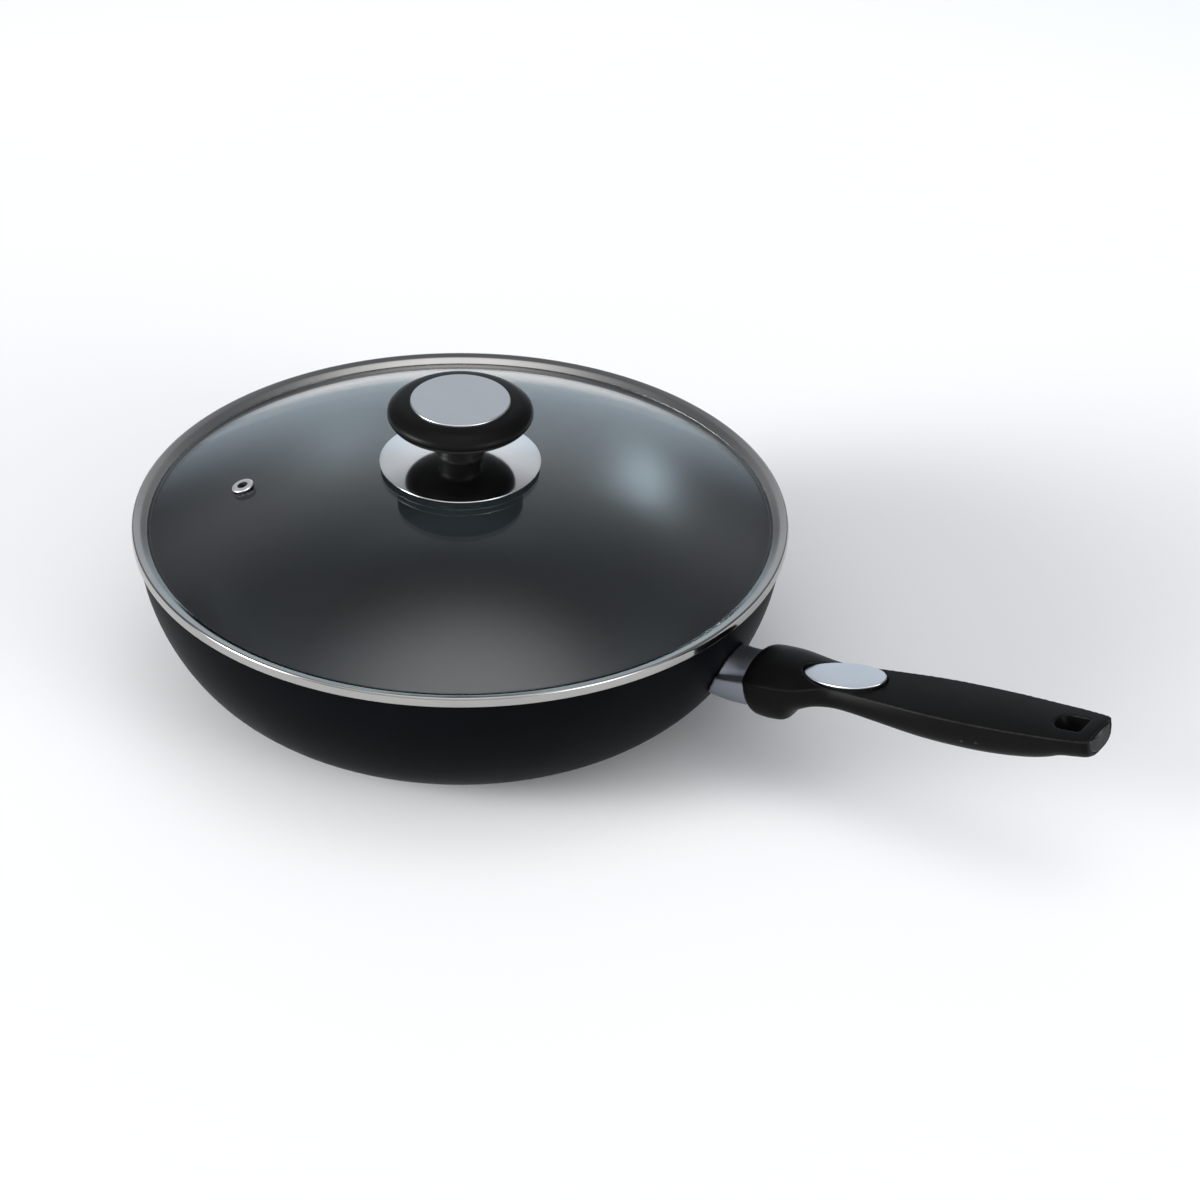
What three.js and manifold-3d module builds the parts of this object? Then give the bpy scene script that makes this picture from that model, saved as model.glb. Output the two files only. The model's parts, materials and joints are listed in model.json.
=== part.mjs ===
// Wok with a lift-off lid and a pull-off handle: mm, +Z up, base centre at the origin, handle along +X
import * as THREE from 'three';
import { mergeVertices } from 'three/addons/utils/BufferGeometryUtils.js';
import Module from 'manifold-3d';

const wasm = await Module();
wasm.setup();

const degrees = THREE.MathUtils.degToRad;

// Clearances
const SEAT = 0.15;
const GAP = 0.3;
const SLIDE = 0.4;
const OVERCUT = 1;
const THROUGH = 30;

// Facets round the wok and lid, the knob, its small parts and the smallest
const LARGE = 64;
const MEDIUM = 48;
const SMALL = 32;
const TINY = 24;

// Wok: outside of the wall at the rim, height, flat base, and the curve that joins base and wall
const RIM_RADIUS = 140.4;
const RIM_HEIGHT = 73.4;
const BASE_RADIUS = 70.4;
const HEEL_RADIUS = 66.4;
const HEEL_SWEEP = degrees(55.6);
const FLOOR_THICKNESS = 4.5;
const RIM_THICKNESS = 2.6;

// Lid band: a steel strip folded round the glass edge, past the rim, with a skirt that goes into the mouth
const BAND_OVERHANG = 2.4;
const BAND_LIP_WIDTH = 5.6;
const BAND_SHEET = 0.6;
const SKIRT_PLAY = 0.4;
const SKIRT_DEPTH = 4;

// Glass
const GLASS_THICKNESS = 3.2;
const GLASS_RISE = 30.4;
const GLASS_FLAT_WIDTH = 2.2;
const GLASS_HOLE_RADIUS = 4;
const VENT_INSET = 48.8;
const VENT_AZIMUTH = degrees(210.5);
const VENT_FLANGE = 4.9;
const VENT_TUBE = 2.9;
const VENT_BORE = 2;
const VENT_FLANGE_THICKNESS = 0.8;

// Knob: heights are counted from the top of the glass
const FLANGE_RADIUS = 34.8;
const FLANGE_RIM_LIFT = 0.2;
const FLANGE_RISE = 5;
const FLANGE_SHEET = 0.8;
const CAP_RADIUS = 31.6;
const CAP_LIFT = 24.8;
const STEM_RADIUS = 10.8;
const STEM_TOP_LIFT = 16.6;
const DISC_RADIUS = 21.7;
const DISC_THICKNESS = 1.6;
const DISC_PROUD = 0.8;
const DISC_TOP_LIFT = 30.6;
const FOOT_RADIUS = 12.5;
const GASKET_THICKNESS = 1.5;
const WASHER_THICKNESS = 1;
const SCREW_RADIUS = 2.4;
const SCREW_HEAD_RADIUS = 4.8;
const SCREW_HEAD_HEIGHT = 2.8;
const INSERT_RADIUS = 4.5;
const INSERT_LENGTH = 12;

// Handle frame, out from the rim and below it: u runs along the handle, v across, n up from its side ridge
const HANDLE_SLOPE = degrees(7.93);
const HANDLE_REACH = 9.6;
const HANDLE_DROP = 20;

// Handle stations: u, half width at the ridge, crown above it, crown power, depth below it, side power
const HANDLE_STATIONS = [
  [0.0, 16.0, 6.4, 2.0, 18.2, 2.6],
  [2.0, 16.9, 7.2, 2.0, 19.4, 2.8],
  [6.0, 17.5, 7.2, 2.0, 20.0, 3.0],
  [12.0, 17.6, 6.4, 2.0, 19.8, 3.2],
  [16.0, 17.2, 5.6, 2.0, 18.6, 3.2],
  [20.0, 16.6, 4.7, 2.0, 15.4, 3.0],
  [25.0, 15.6, 3.7, 2.0, 12.6, 3.0],
  [31.0, 14.6, 2.9, 2.0, 10.7, 3.0],
  [40.0, 13.9, 2.3, 2.0, 9.9, 3.0],
  [50.0, 14.8, 2.2, 2.0, 10.3, 3.0],
  [62.0, 15.9, 2.2, 2.0, 11.8, 3.0],
  [84.0, 17.3, 2.0, 2.0, 14.7, 3.0],
  [108.0, 16.9, 1.6, 2.0, 16.3, 3.0],
  [124.0, 15.8, 1.3, 2.0, 16.1, 3.0],
  [136.0, 14.7, 1.1, 2.0, 14.9, 3.0],
  [143.0, 14.1, 1.0, 2.0, 13.3, 3.0],
  [148.0, 13.7, 0.9, 2.0, 11.6, 3.0],
  [156.0, 12.7, 0.8, 2.0, 11.0, 3.0],
  [161.0, 11.9, 0.7, 2.0, 10.5, 3.0],
  [163.0, 11.0, 0.4, 2.0, 9.6, 3.0],
];
const STATION_STEP = 5;
const SECTION_POINTS = 32;

// Stub: a wide bar with a narrower saddle on top, spreading at the wall, and a tongue into the handle
const STUB_BACK = -26;
const SPREAD_END = -4;
const BAR_END = 12;
const BAR_HALF_WIDTH = 14;
const BAR_BOTTOM = -17.4;
const BAR_RISE_AT_WALL = 5;
const LEDGE = -1.6;
const SADDLE_END = 3;
const SADDLE_HALF_WIDTH = 9.2;
const SADDLE_TOP = 5;
const SADDLE_SPREAD = 9;
const SADDLE_RISE_AT_WALL = 8;
const TONGUE_START = 9;
const TONGUE_END = 23;
const TONGUE_HALF_WIDTH = 8.7;
const TONGUE_TOP = -1.9;
const TONGUE_BOTTOM = -8.9;
const TONGUE_ROOF = 1.6;
const TONGUE_FLOOR = 1.3;
const POCKET_HALF_WIDTH = 5.5;
const POCKET_START = 8;

// Rivets that hold the stub to the wall
const RIVET_DROP = 26.4;
const RIVET_SPREAD = 8;
const RIVET_RADIUS = 3;
const RIVET_HEAD_RADIUS = 5.5;
const RIVET_HEAD_HEIGHT = 1.6;
const RIVET_STANDOFF = 0.6;
const RIVET_LENGTH = 9;

// Latch leaf: held by a screw behind the button, its tooth in the tongue's window
const LEAF_THICKNESS = 0.8;
const LEAF_HALF_WIDTH = 4;
const LEAF_TIP = 11;
const LEAF_END = 62;
const TOOTH_START = 14;
const TOOTH_END = 19;
const TOOTH_RISE = 1.7;
const LEAF_SCREW_AT = 57;
const LEAF_SCREW_RADIUS = 1.5;
const LEAF_SCREW_HEAD = 2.8;
const LEAF_SCREW_HEAD_HEIGHT = 1.8;
const LEAF_SCREW_BITE = 2.4;

// Release button
const BUTTON_AT = 42;
const BUTTON_TOP = 3.4;
const BUTTON_TILT = degrees(2.4);
const BUTTON_HALF_LENGTH = 19.4;
const BUTTON_HALF_WIDTH = 10.2;
const BUTTON_FATTER_REAR = 0.12;
const BUTTON_TRAVEL = 1;
const FACE_THICKNESS = 1.6;
const PLUNGER_INSET = 1.2;
const PLUNGER_HEIGHT = 1.4;
const POST_AT = 34;
const POST_RADIUS = 2.6;

// Hang hole and end plate
const HOLE_TAIL_SIDE = 156.5;
const HOLE_TOP_FRONT = 142;
const HOLE_BOTTOM_FRONT = 147;
const HOLE_HALF_WIDTH = 5.8;
const HOLE_RAMP_LOW = -9;
const HOLE_RAMP_HIGH = 2.2;
const PLATE_SCALE = 0.72;
const PLATE_THICKNESS = 2;
const PLATE_PROUD = 0.3;

// Materials
const finish = (color, roughness, metalness) => ({ color, roughness, metalness });
const NONSTICK = finish(0x1d1f22, 0.5, 0.2);
const ALUMINIUM = finish(0xa9aeb6, 0.35, 0.9);
const POLISHED = finish(0xd0d2d4, 0.12, 1);
const BRUSHED = finish(0xc3c8d0, 0.32, 1);
const GLASS = finish(0xcfd8dc, 0.05, 0);
const PHENOLIC = finish(0x17181a, 0.55, 0);
const SILICONE = finish(0x2a2b2d, 0.8, 0);
const BRASS = finish(0xb5945a, 0.35, 1);
const STEEL = finish(0x9a9da1, 0.3, 1);
const DARK_PLATE = finish(0x4a4d52, 0.45, 0.2);

// Solids

function solidOf(geometry) {
  const bare = new THREE.BufferGeometry();
  bare.setAttribute('position', geometry.getAttribute('position').clone());
  if (geometry.index) {
    bare.setIndex(geometry.index.clone());
  }
  const merged = mergeVertices(bare, 1e-4);
  const at = merged.getAttribute('position');
  const corners = [];
  let volume = 0;
  const a = new THREE.Vector3();
  const b = new THREE.Vector3();
  const c = new THREE.Vector3();
  for (let i = 0; i < merged.index.count; i += 3) {
    const [p, q, r] = [0, 1, 2].map((k) => merged.index.getX(i + k));
    if (p === q || q === r || r === p) {
      continue;
    }
    corners.push(p, q, r);
    a.fromBufferAttribute(at, p);
    b.fromBufferAttribute(at, q);
    c.fromBufferAttribute(at, r);
    volume += a.dot(b.cross(c));
  }
  if (volume < 0) {
    for (let i = 0; i < corners.length; i += 3) {
      [corners[i], corners[i + 1]] = [corners[i + 1], corners[i]];
    }
  }
  const mesh = new wasm.Mesh({
    numProp: 3,
    vertProperties: new Float32Array(at.array),
    triVerts: new Uint32Array(corners),
  });
  return new wasm.Manifold(mesh);
}

function turned(profile, segments) {
  const points = profile.map(([r, z]) => new THREE.Vector2(r, z));
  const geometry = new THREE.LatheGeometry(points, segments);
  geometry.rotateX(Math.PI / 2);
  return solidOf(geometry);
}

function ring(inner, outer, bottom, top, segments) {
  return turned([[inner, bottom], [outer, bottom], [outer, top], [inner, top], [inner, bottom]], segments);
}

function rod(radius, bottom, top, segments = TINY) {
  return turned([[0, bottom], [radius, bottom], [radius, top], [0, top]], segments);
}

function lofted(rings) {
  const count = rings[0].length;
  const middle = (points) => points.reduce((sum, p) => sum.add(p), new THREE.Vector3()).divideScalar(count);
  const points = [...rings.flat(), middle(rings[0]), middle(rings[rings.length - 1])];
  const first = rings.length * count;
  const corners = [];
  for (let i = 0; i < count; i += 1) {
    const next = (i + 1) % count;
    for (let k = 0; k + 1 < rings.length; k += 1) {
      const low = k * count;
      const high = low + count;
      corners.push(low + i, low + next, high + i, low + next, high + next, high + i);
    }
    const last = first - count;
    corners.push(next, i, first, last + i, last + next, first + 1);
  }
  const geometry = new THREE.BufferGeometry().setFromPoints(points);
  geometry.setIndex(corners);
  return solidOf(geometry);
}

function block(u0, u1, v, n0, n1) {
  const geometry = new THREE.BoxGeometry(u1 - u0, 2 * v, n1 - n0);
  geometry.translate((u0 + u1) / 2, 0, (n0 + n1) / 2);
  return solidOf(geometry);
}

function placed(solid, matrix) {
  return solid.transform(matrix.toArray());
}

const cut = (solid, ...tools) => tools.reduce((left, tool) => left.subtract(tool), solid);
const joined = (solid, ...others) => others.reduce((sum, other) => sum.add(other), solid);

const group = new THREE.Group();

function addPart(name, solid, look) {
  const mesh = solid.getMesh();
  const geometry = new THREE.BufferGeometry();
  geometry.setAttribute('position', new THREE.BufferAttribute(new Float32Array(mesh.vertProperties), 3));
  geometry.setIndex(new THREE.BufferAttribute(new Uint32Array(mesh.triVerts), 1));
  const flat = geometry.toNonIndexed();
  flat.computeVertexNormals();
  const part = new THREE.Mesh(flat, new THREE.MeshStandardMaterial(look));
  part.name = name;
  group.add(part);
}

// Profile curves as [r, z] points

function arc(cr, cz, radius, from, to, steps) {
  const points = [];
  for (let i = 0; i <= steps; i += 1) {
    const t = from + ((to - from) * i) / steps;
    points.push([cr + radius * Math.sin(t), cz - radius * Math.cos(t)]);
  }
  return points;
}

function tangentArc(start, heading, end, steps) {
  const dr = end[0] - start[0];
  const dz = end[1] - start[1];
  const turn = Math.atan2(dz, dr) - heading;
  const radius = Math.hypot(dr, dz) / (2 * Math.sin(turn));
  const cr = start[0] - radius * Math.sin(heading);
  const cz = start[1] + radius * Math.cos(heading);
  return arc(cr, cz, radius, heading, heading + 2 * turn, steps);
}

function smooth(points, steps) {
  const curve = new THREE.SplineCurve(points.map(([r, z]) => new THREE.Vector2(r, z)));
  return curve.getPoints(steps).map((p) => [p.x, p.y]);
}

// Wok

function wallCurve(heel, rim) {
  const low = arc(BASE_RADIUS, HEEL_RADIUS, heel, 0, HEEL_SWEEP, 8);
  return [...low, ...tangentArc(low[low.length - 1], HEEL_SWEEP, rim, 7).slice(1)];
}

const mouthRadius = RIM_RADIUS - RIM_THICKNESS;
const lipRound = RIM_THICKNESS / 4;
const outerWall = wallCurve(HEEL_RADIUS, [RIM_RADIUS, RIM_HEIGHT - lipRound]);
const innerWall = wallCurve(HEEL_RADIUS - FLOOR_THICKNESS, [mouthRadius, RIM_HEIGHT - lipRound]);

function wallAt(curve, height) {
  const k = curve.findIndex((p) => p[1] > height);
  const [low, high] = [curve[k - 1], curve[k]];
  const t = (height - low[1]) / (high[1] - low[1]);
  const slope = Math.atan2(high[1] - low[1], high[0] - low[0]);
  return { r: low[0] + t * (high[0] - low[0]), slope };
}

const shellProfile = [
  [0, 0],
  ...outerWall,
  [RIM_RADIUS - lipRound, RIM_HEIGHT],
  [mouthRadius + lipRound, RIM_HEIGHT],
  ...innerWall.slice().reverse(),
  [0, FLOOR_THICKNESS],
];
const wallSolid = turned(shellProfile, LARGE);

// Everything inside the wall's outer face, grown by the gap that the stub keeps from it
const grownWall = outerWall.map(([r, z]) => [r + GAP, z]);
const insideWall = turned([[0, -OVERCUT], [BASE_RADIUS, -OVERCUT], ...grownWall, [0, RIM_HEIGHT]], LARGE);

const rivetHeight = RIM_HEIGHT - RIVET_DROP;
const rivetWall = wallAt(innerWall, rivetHeight);
const rivetAxis = new THREE.Vector3(Math.sin(rivetWall.slope), 0, -Math.cos(rivetWall.slope));
const rivetTurn = Math.asin(RIVET_SPREAD / rivetWall.r);

function rivetMatrix(side) {
  const across = new THREE.Vector3(0, 1, 0);
  const seat = new THREE.Matrix4().makeBasis(rivetAxis.clone().cross(across).negate(), across, rivetAxis);
  seat.setPosition(rivetWall.r, 0, rivetHeight);
  return new THREE.Matrix4().makeRotationZ(side * rivetTurn).multiply(seat);
}

function rivet(side) {
  const seat = -RIVET_STANDOFF;
  const low = seat - RIVET_HEAD_HEIGHT;
  const dome = [[0, low], [RIVET_HEAD_RADIUS * 0.6, low + 0.2], [RIVET_HEAD_RADIUS, seat - 0.5]];
  const shank = [[RIVET_HEAD_RADIUS, seat], [RIVET_RADIUS, seat], [RIVET_RADIUS, RIVET_LENGTH]];
  return placed(turned([...dome, ...shank, [0, RIVET_LENGTH]], TINY), rivetMatrix(side));
}

function rivetBore(side) {
  return placed(rod(RIVET_RADIUS + GAP, -FLOOR_THICKNESS, RIVET_LENGTH + GAP), rivetMatrix(side));
}

const sides = [['left', 1], ['right', -1]];
const rivetBores = sides.map(([, side]) => rivetBore(side));
addPart('wok_shell', cut(wallSolid, ...rivetBores), NONSTICK);
sides.forEach(([name, side]) => addPart(`stub_rivet_${name}`, rivet(side), ALUMINIUM));

// Handle frame

const handleFrame = new THREE.Matrix4().makeBasis(
  new THREE.Vector3(Math.cos(HANDLE_SLOPE), 0, Math.sin(HANDLE_SLOPE)),
  new THREE.Vector3(0, 1, 0),
  new THREE.Vector3(-Math.sin(HANDLE_SLOPE), 0, Math.cos(HANDLE_SLOPE)),
);
handleFrame.setPosition(RIM_RADIUS + HANDLE_REACH, 0, RIM_HEIGHT - HANDLE_DROP);

// Stub and the socket that takes it

function barSection(u, spread, grow) {
  const w = BAR_HALF_WIDTH + grow;
  const top = LEDGE + grow;
  const edge = top - 0.6;
  const drop = edge - (BAR_BOTTOM + BAR_RISE_AT_WALL * spread - grow);
  const points = [new THREE.Vector3(u, w - 0.6, top), new THREE.Vector3(u, 0.6 - w, top)];
  for (let i = 0; i <= 12; i += 1) {
    const t = (Math.PI * i) / 12;
    const v = -w * Math.sign(Math.cos(t)) * Math.abs(Math.cos(t)) ** 0.75;
    points.push(new THREE.Vector3(u, v, edge - drop * Math.sin(t) ** 0.75));
  }
  return points;
}

function saddleSection(u, spread, grow) {
  const w = SADDLE_HALF_WIDTH + SADDLE_SPREAD * spread + grow;
  const top = SADDLE_TOP + SADDLE_RISE_AT_WALL * spread + grow;
  const foot = LEDGE - OVERCUT;
  const points = [];
  for (let i = 0; i <= 12; i += 1) {
    const t = (Math.PI * i) / 12;
    const v = w * Math.sign(Math.cos(t)) * Math.abs(Math.cos(t)) ** 0.7;
    points.push(new THREE.Vector3(u, v, foot + (top - foot) * Math.sin(t) ** 0.7));
  }
  return points;
}

function stubLoft(end, section, grow) {
  const steps = 6;
  const rings = [];
  for (let i = 0; i <= steps; i += 1) {
    const t = i / steps;
    rings.push(section(STUB_BACK + (SPREAD_END - STUB_BACK) * t, (1 - t) ** 2, grow));
  }
  rings.push(section(end + grow, 0, grow));
  return lofted(rings);
}

function stubBody(grow) {
  const tongue = block(
    TONGUE_START,
    TONGUE_END + grow,
    TONGUE_HALF_WIDTH + grow,
    TONGUE_BOTTOM - grow,
    TONGUE_TOP + grow,
  );
  return joined(stubLoft(BAR_END, barSection, grow), stubLoft(SADDLE_END, saddleSection, grow), tongue);
}

const pocketRoof = TONGUE_TOP - TONGUE_ROOF;
const pocketFloor = TONGUE_BOTTOM + TONGUE_FLOOR;
const pocket = block(POCKET_START, TONGUE_END + OVERCUT, POCKET_HALF_WIDTH, pocketFloor, pocketRoof);
const windowHalf = LEAF_HALF_WIDTH + SLIDE;
const toothWindow = block(
  TOOTH_START - SLIDE,
  TOOTH_END + SLIDE,
  windowHalf,
  pocketRoof - OVERCUT,
  TONGUE_TOP + OVERCUT,
);
const stub = placed(cut(stubBody(0), pocket, toothWindow), handleFrame);
addPart('handle_stub', cut(stub, insideWall, ...rivetBores), ALUMINIUM);
const socket = stubBody(SLIDE);

// Grip

function stationAt(u) {
  const table = HANDLE_STATIONS;
  const k = Math.max(1, table.findIndex((row) => row[0] >= u));
  const rows = [k - 2, k - 1, k, k + 1].map((i) => table[Math.min(Math.max(i, 0), table.length - 1)]);
  const t = (u - rows[1][0]) / (rows[2][0] - rows[1][0]);
  return rows[1].map((value, i) => {
    const before = rows[1][0] - rows[0][0] || 1;
    const span = rows[2][0] - rows[1][0];
    const after = rows[3][0] - rows[2][0] || 1;
    const chord = (rows[2][i] - value) / span;
    const m1 = rows[0] === rows[1] ? chord : (chord + (value - rows[0][i]) / before) / 2;
    const m2 = rows[3] === rows[2] ? chord : (chord + (rows[3][i] - rows[2][i]) / after) / 2;
    const t2 = t * t;
    const t3 = t2 * t;
    const bend = (t3 - 2 * t2 + t) * m1 * span + (t3 - t2) * m2 * span;
    return (2 * t3 - 3 * t2 + 1) * value + (3 * t2 - 2 * t3) * rows[2][i] + bend;
  });
}

function gripSection(u, scale = 1) {
  const [, w, crown, crownPower, depth, sidePower] = stationAt(u);
  const half = SECTION_POINTS / 2;
  const points = [];
  for (let i = 0; i < SECTION_POINTS; i += 1) {
    const t = (Math.PI * i) / half;
    const cos = Math.cos(t);
    const above = i <= half;
    const v = above ? w * cos : w * Math.sign(cos) * Math.abs(cos) ** (2 / sidePower);
    const up = crown * (1 - Math.abs(cos) ** crownPower);
    const n = above ? up : -depth * Math.abs(Math.sin(t)) ** (2 / sidePower);
    points.push(new THREE.Vector3(u, v * scale, n * scale));
  }
  return points;
}

function gripStations() {
  const ends = HANDLE_STATIONS.map((row) => row[0]);
  const tail = ends[ends.length - 1];
  const list = new Set(ends);
  for (let u = ends[0]; u < tail; u += STATION_STEP) {
    const nearest = Math.min(...ends.map((end) => Math.abs(end - u)));
    if (nearest > STATION_STEP / 3) {
      list.add(u);
    }
  }
  return [...list].sort((a, b) => a - b);
}

const gripBlank = lofted(gripStations().map((u) => gripSection(u)));
const tailEnd = HANDLE_STATIONS[HANDLE_STATIONS.length - 1][0];

// Latch leaf in its slot

const leafTop = pocketRoof - SLIDE;
const leafBottom = leafTop - LEAF_THICKNESS;
const slotRoof = leafTop + GAP;
const slotFloor = leafBottom - BUTTON_TRAVEL - 2 * SLIDE;

function leafSolid() {
  const outline = new THREE.Shape();
  const corners = [
    [LEAF_TIP, leafBottom],
    [LEAF_END, leafBottom],
    [LEAF_END, leafTop],
    [TOOTH_END, leafTop],
    [TOOTH_END, leafTop + TOOTH_RISE],
    [TOOTH_END - 1.5, leafTop + TOOTH_RISE],
    [TOOTH_START, leafTop],
    [LEAF_TIP, leafTop],
  ];
  corners.forEach(([u, n], i) => (i ? outline.lineTo(u, n) : outline.moveTo(u, n)));
  const geometry = new THREE.ExtrudeGeometry(outline, { depth: 2 * LEAF_HALF_WIDTH, bevelEnabled: false });
  geometry.rotateX(Math.PI / 2);
  geometry.translate(0, LEAF_HALF_WIDTH, 0);
  return solidOf(geometry);
}

const along = (u) => new THREE.Matrix4().makeTranslation(u, 0, 0);
const slot = block(TONGUE_END - OVERCUT, LEAF_END + GAP, LEAF_HALF_WIDTH + SLIDE, slotFloor, slotRoof);
const screwTop = leafTop + LEAF_SCREW_BITE;
const screwSeat = leafBottom - SEAT;
const leafScrew = joined(
  rod(LEAF_SCREW_RADIUS, screwSeat - OVERCUT, screwTop),
  rod(LEAF_SCREW_HEAD, screwSeat - LEAF_SCREW_HEAD_HEIGHT, screwSeat),
);
const leafScrewBore = joined(
  rod(LEAF_SCREW_RADIUS + GAP, screwSeat - OVERCUT, screwTop + GAP),
  rod(LEAF_SCREW_HEAD + SLIDE, -THROUGH, slotRoof - OVERCUT),
);
const leafHole = rod(LEAF_SCREW_RADIUS + GAP, leafBottom - OVERCUT, leafTop + OVERCUT);
const leaf = cut(leafSolid(), placed(leafHole, along(LEAF_SCREW_AT)));

// Release button, in its own slightly tilted frame

const buttonFrame = new THREE.Matrix4()
  .makeTranslation(BUTTON_AT, 0, BUTTON_TOP)
  .multiply(new THREE.Matrix4().makeRotationY(-BUTTON_TILT));

function oval(inset, bottom, top) {
  const a = BUTTON_HALF_LENGTH - inset;
  const b = BUTTON_HALF_WIDTH - inset;
  const outline = (n) => Array.from({ length: SMALL }, (_, i) => {
    const t = (2 * Math.PI * i) / SMALL;
    const v = b * Math.sin(t) * (1 + BUTTON_FATTER_REAR * Math.cos(t));
    return new THREE.Vector3(a * Math.cos(t), v, n);
  });
  return placed(lofted([outline(bottom), outline(top)]), buttonFrame);
}

const plungerTop = -FACE_THICKNESS - SEAT;
const plungerBottom = plungerTop - PLUNGER_HEIGHT;
const wellFloor = plungerBottom - BUTTON_TRAVEL - SLIDE;
const postOffset = POST_AT - BUTTON_AT;
const postTip = leafTop + SEAT - BUTTON_TOP - postOffset * Math.sin(BUTTON_TILT);
const postFrame = buttonFrame.clone().multiply(along(postOffset));
const post = placed(rod(POST_RADIUS, postTip, plungerBottom + OVERCUT), postFrame);
const postBore = placed(rod(POST_RADIUS + SLIDE, postTip - OVERCUT, 0), postFrame);
const well = oval(-SLIDE, wellFloor, BUTTON_TOP + OVERCUT);
const face = oval(0, -FACE_THICKNESS, 0);
const plunger = joined(oval(PLUNGER_INSET, plungerBottom, plungerTop), post);

// Hang hole with a ramp at its wok side, and the plate let into the tail

function holeOutline(front, n) {
  const w = HOLE_HALF_WIDTH;
  const centre = front + w * 0.8;
  const points = [
    new THREE.Vector3(HOLE_TAIL_SIDE, 1.2 - w, n),
    new THREE.Vector3(HOLE_TAIL_SIDE, w - 1.2, n),
    new THREE.Vector3(HOLE_TAIL_SIDE - 1.2, w, n),
  ];
  for (let i = 0; i <= 10; i += 1) {
    const t = Math.PI / 2 + (Math.PI * i) / 10;
    points.push(new THREE.Vector3(centre + w * 0.8 * Math.cos(t), w * Math.sin(t), n));
  }
  points.push(new THREE.Vector3(HOLE_TAIL_SIDE - 1.2, -w, n));
  return points;
}

const hangHole = lofted([
  holeOutline(HOLE_BOTTOM_FRONT, -THROUGH),
  holeOutline(HOLE_BOTTOM_FRONT, HOLE_RAMP_LOW),
  holeOutline(HOLE_TOP_FRONT, HOLE_RAMP_HIGH),
  holeOutline(HOLE_TOP_FRONT, THROUGH),
]);

function plateSolid(grow, from, to) {
  const [low] = gripSection(tailEnd);
  const scale = PLATE_SCALE + grow / low.y;
  const shift = -0.1 * HANDLE_STATIONS[HANDLE_STATIONS.length - 1][4];
  const at = (u) => gripSection(tailEnd, scale).map((p) => new THREE.Vector3(u, p.y, p.z + shift));
  return lofted([at(from), at(to)]);
}

const plateBack = tailEnd + PLATE_PROUD - PLATE_THICKNESS;
const platePocket = plateSolid(SEAT, plateBack - SEAT, tailEnd + OVERCUT);
const endPlate = plateSolid(0, plateBack, tailEnd + PLATE_PROUD);

const grip = cut(
  gripBlank,
  socket,
  slot,
  placed(leafScrewBore, along(LEAF_SCREW_AT)),
  well,
  postBore,
  hangHole,
  platePocket,
);
addPart('handle_grip', placed(grip, handleFrame), PHENOLIC);
addPart('end_plate', placed(endPlate, handleFrame), DARK_PLATE);
addPart('latch_leaf', placed(leaf, handleFrame), STEEL);
addPart('latch_screw', placed(placed(leafScrew, along(LEAF_SCREW_AT)), handleFrame), STEEL);
addPart('button_face', placed(face, handleFrame), BRUSHED);
addPart('button_plunger', placed(plunger, handleFrame), PHENOLIC);

// Lid: the band's lower fold rests on the rim and its skirt goes into the mouth

const foldBottom = RIM_HEIGHT + GAP;
const foldTop = foldBottom + BAND_SHEET;
const glassLow = foldTop + SEAT;
const glassHigh = glassLow + GLASS_THICKNESS;
const lipLow = glassHigh + SEAT;
const lipHigh = lipLow + BAND_SHEET;
const wallAtSkirt = wallAt(innerWall, foldBottom - SKIRT_DEPTH).r;
const skirtRadius = Math.min(mouthRadius, wallAtSkirt) - SKIRT_PLAY;
const bandRadius = RIM_RADIUS + BAND_OVERHANG;
const lipRadius = bandRadius - BAND_LIP_WIDTH;
const bandInside = bandRadius - BAND_SHEET;
const bandProfile = [
  [skirtRadius, foldBottom - SKIRT_DEPTH],
  [skirtRadius, foldBottom],
  [bandRadius - 0.5, foldBottom],
  [bandRadius, foldBottom + 0.5],
  [bandRadius, lipHigh - 1],
  [bandRadius - 0.35, lipHigh - 0.35],
  [bandRadius - 1, lipHigh],
  [lipRadius + 0.3, lipHigh],
  [lipRadius, lipHigh - 0.3],
  [lipRadius, lipLow],
  [bandInside, lipLow],
  [bandInside, foldTop],
  [skirtRadius - BAND_SHEET, foldTop],
  [skirtRadius - BAND_SHEET, foldBottom - SKIRT_DEPTH],
  [skirtRadius, foldBottom - SKIRT_DEPTH],
];
addPart('lid_band', turned(bandProfile, LARGE), POLISHED);

const glassEdge = bandInside - SEAT;
const domeEdge = lipRadius - GLASS_FLAT_WIDTH;
const domeRadius = (domeEdge ** 2 + GLASS_RISE ** 2) / (2 * GLASS_RISE);
const glassTop = glassHigh + GLASS_RISE;
const domeCentre = glassTop - domeRadius;
const domeSweep = Math.asin(domeEdge / domeRadius);

function dome(radius) {
  const points = [];
  for (let i = 0; i <= 10; i += 1) {
    const t = (domeSweep * i) / 10;
    points.push([radius * Math.sin(t), domeCentre + radius * Math.cos(t)]);
  }
  return points;
}

const glassUnder = glassTop - GLASS_THICKNESS;
const glassProfile = [
  ...dome(domeRadius),
  [glassEdge, glassHigh],
  [glassEdge, glassLow],
  ...dome(domeRadius - GLASS_THICKNESS).reverse(),
];
const ventRadius = bandRadius - VENT_INSET;
const ventTilt = Math.asin(ventRadius / domeRadius);
const ventFrame = new THREE.Matrix4()
  .makeRotationZ(VENT_AZIMUTH)
  .multiply(new THREE.Matrix4().makeTranslation(0, 0, domeCentre))
  .multiply(new THREE.Matrix4().makeRotationY(ventTilt))
  .multiply(new THREE.Matrix4().makeTranslation(0, 0, domeRadius));
const ventHole = placed(rod(VENT_TUBE + GAP, -GLASS_THICKNESS - OVERCUT, OVERCUT), ventFrame);
const knobHole = rod(GLASS_HOLE_RADIUS, glassUnder - OVERCUT, glassTop + OVERCUT);
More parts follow.
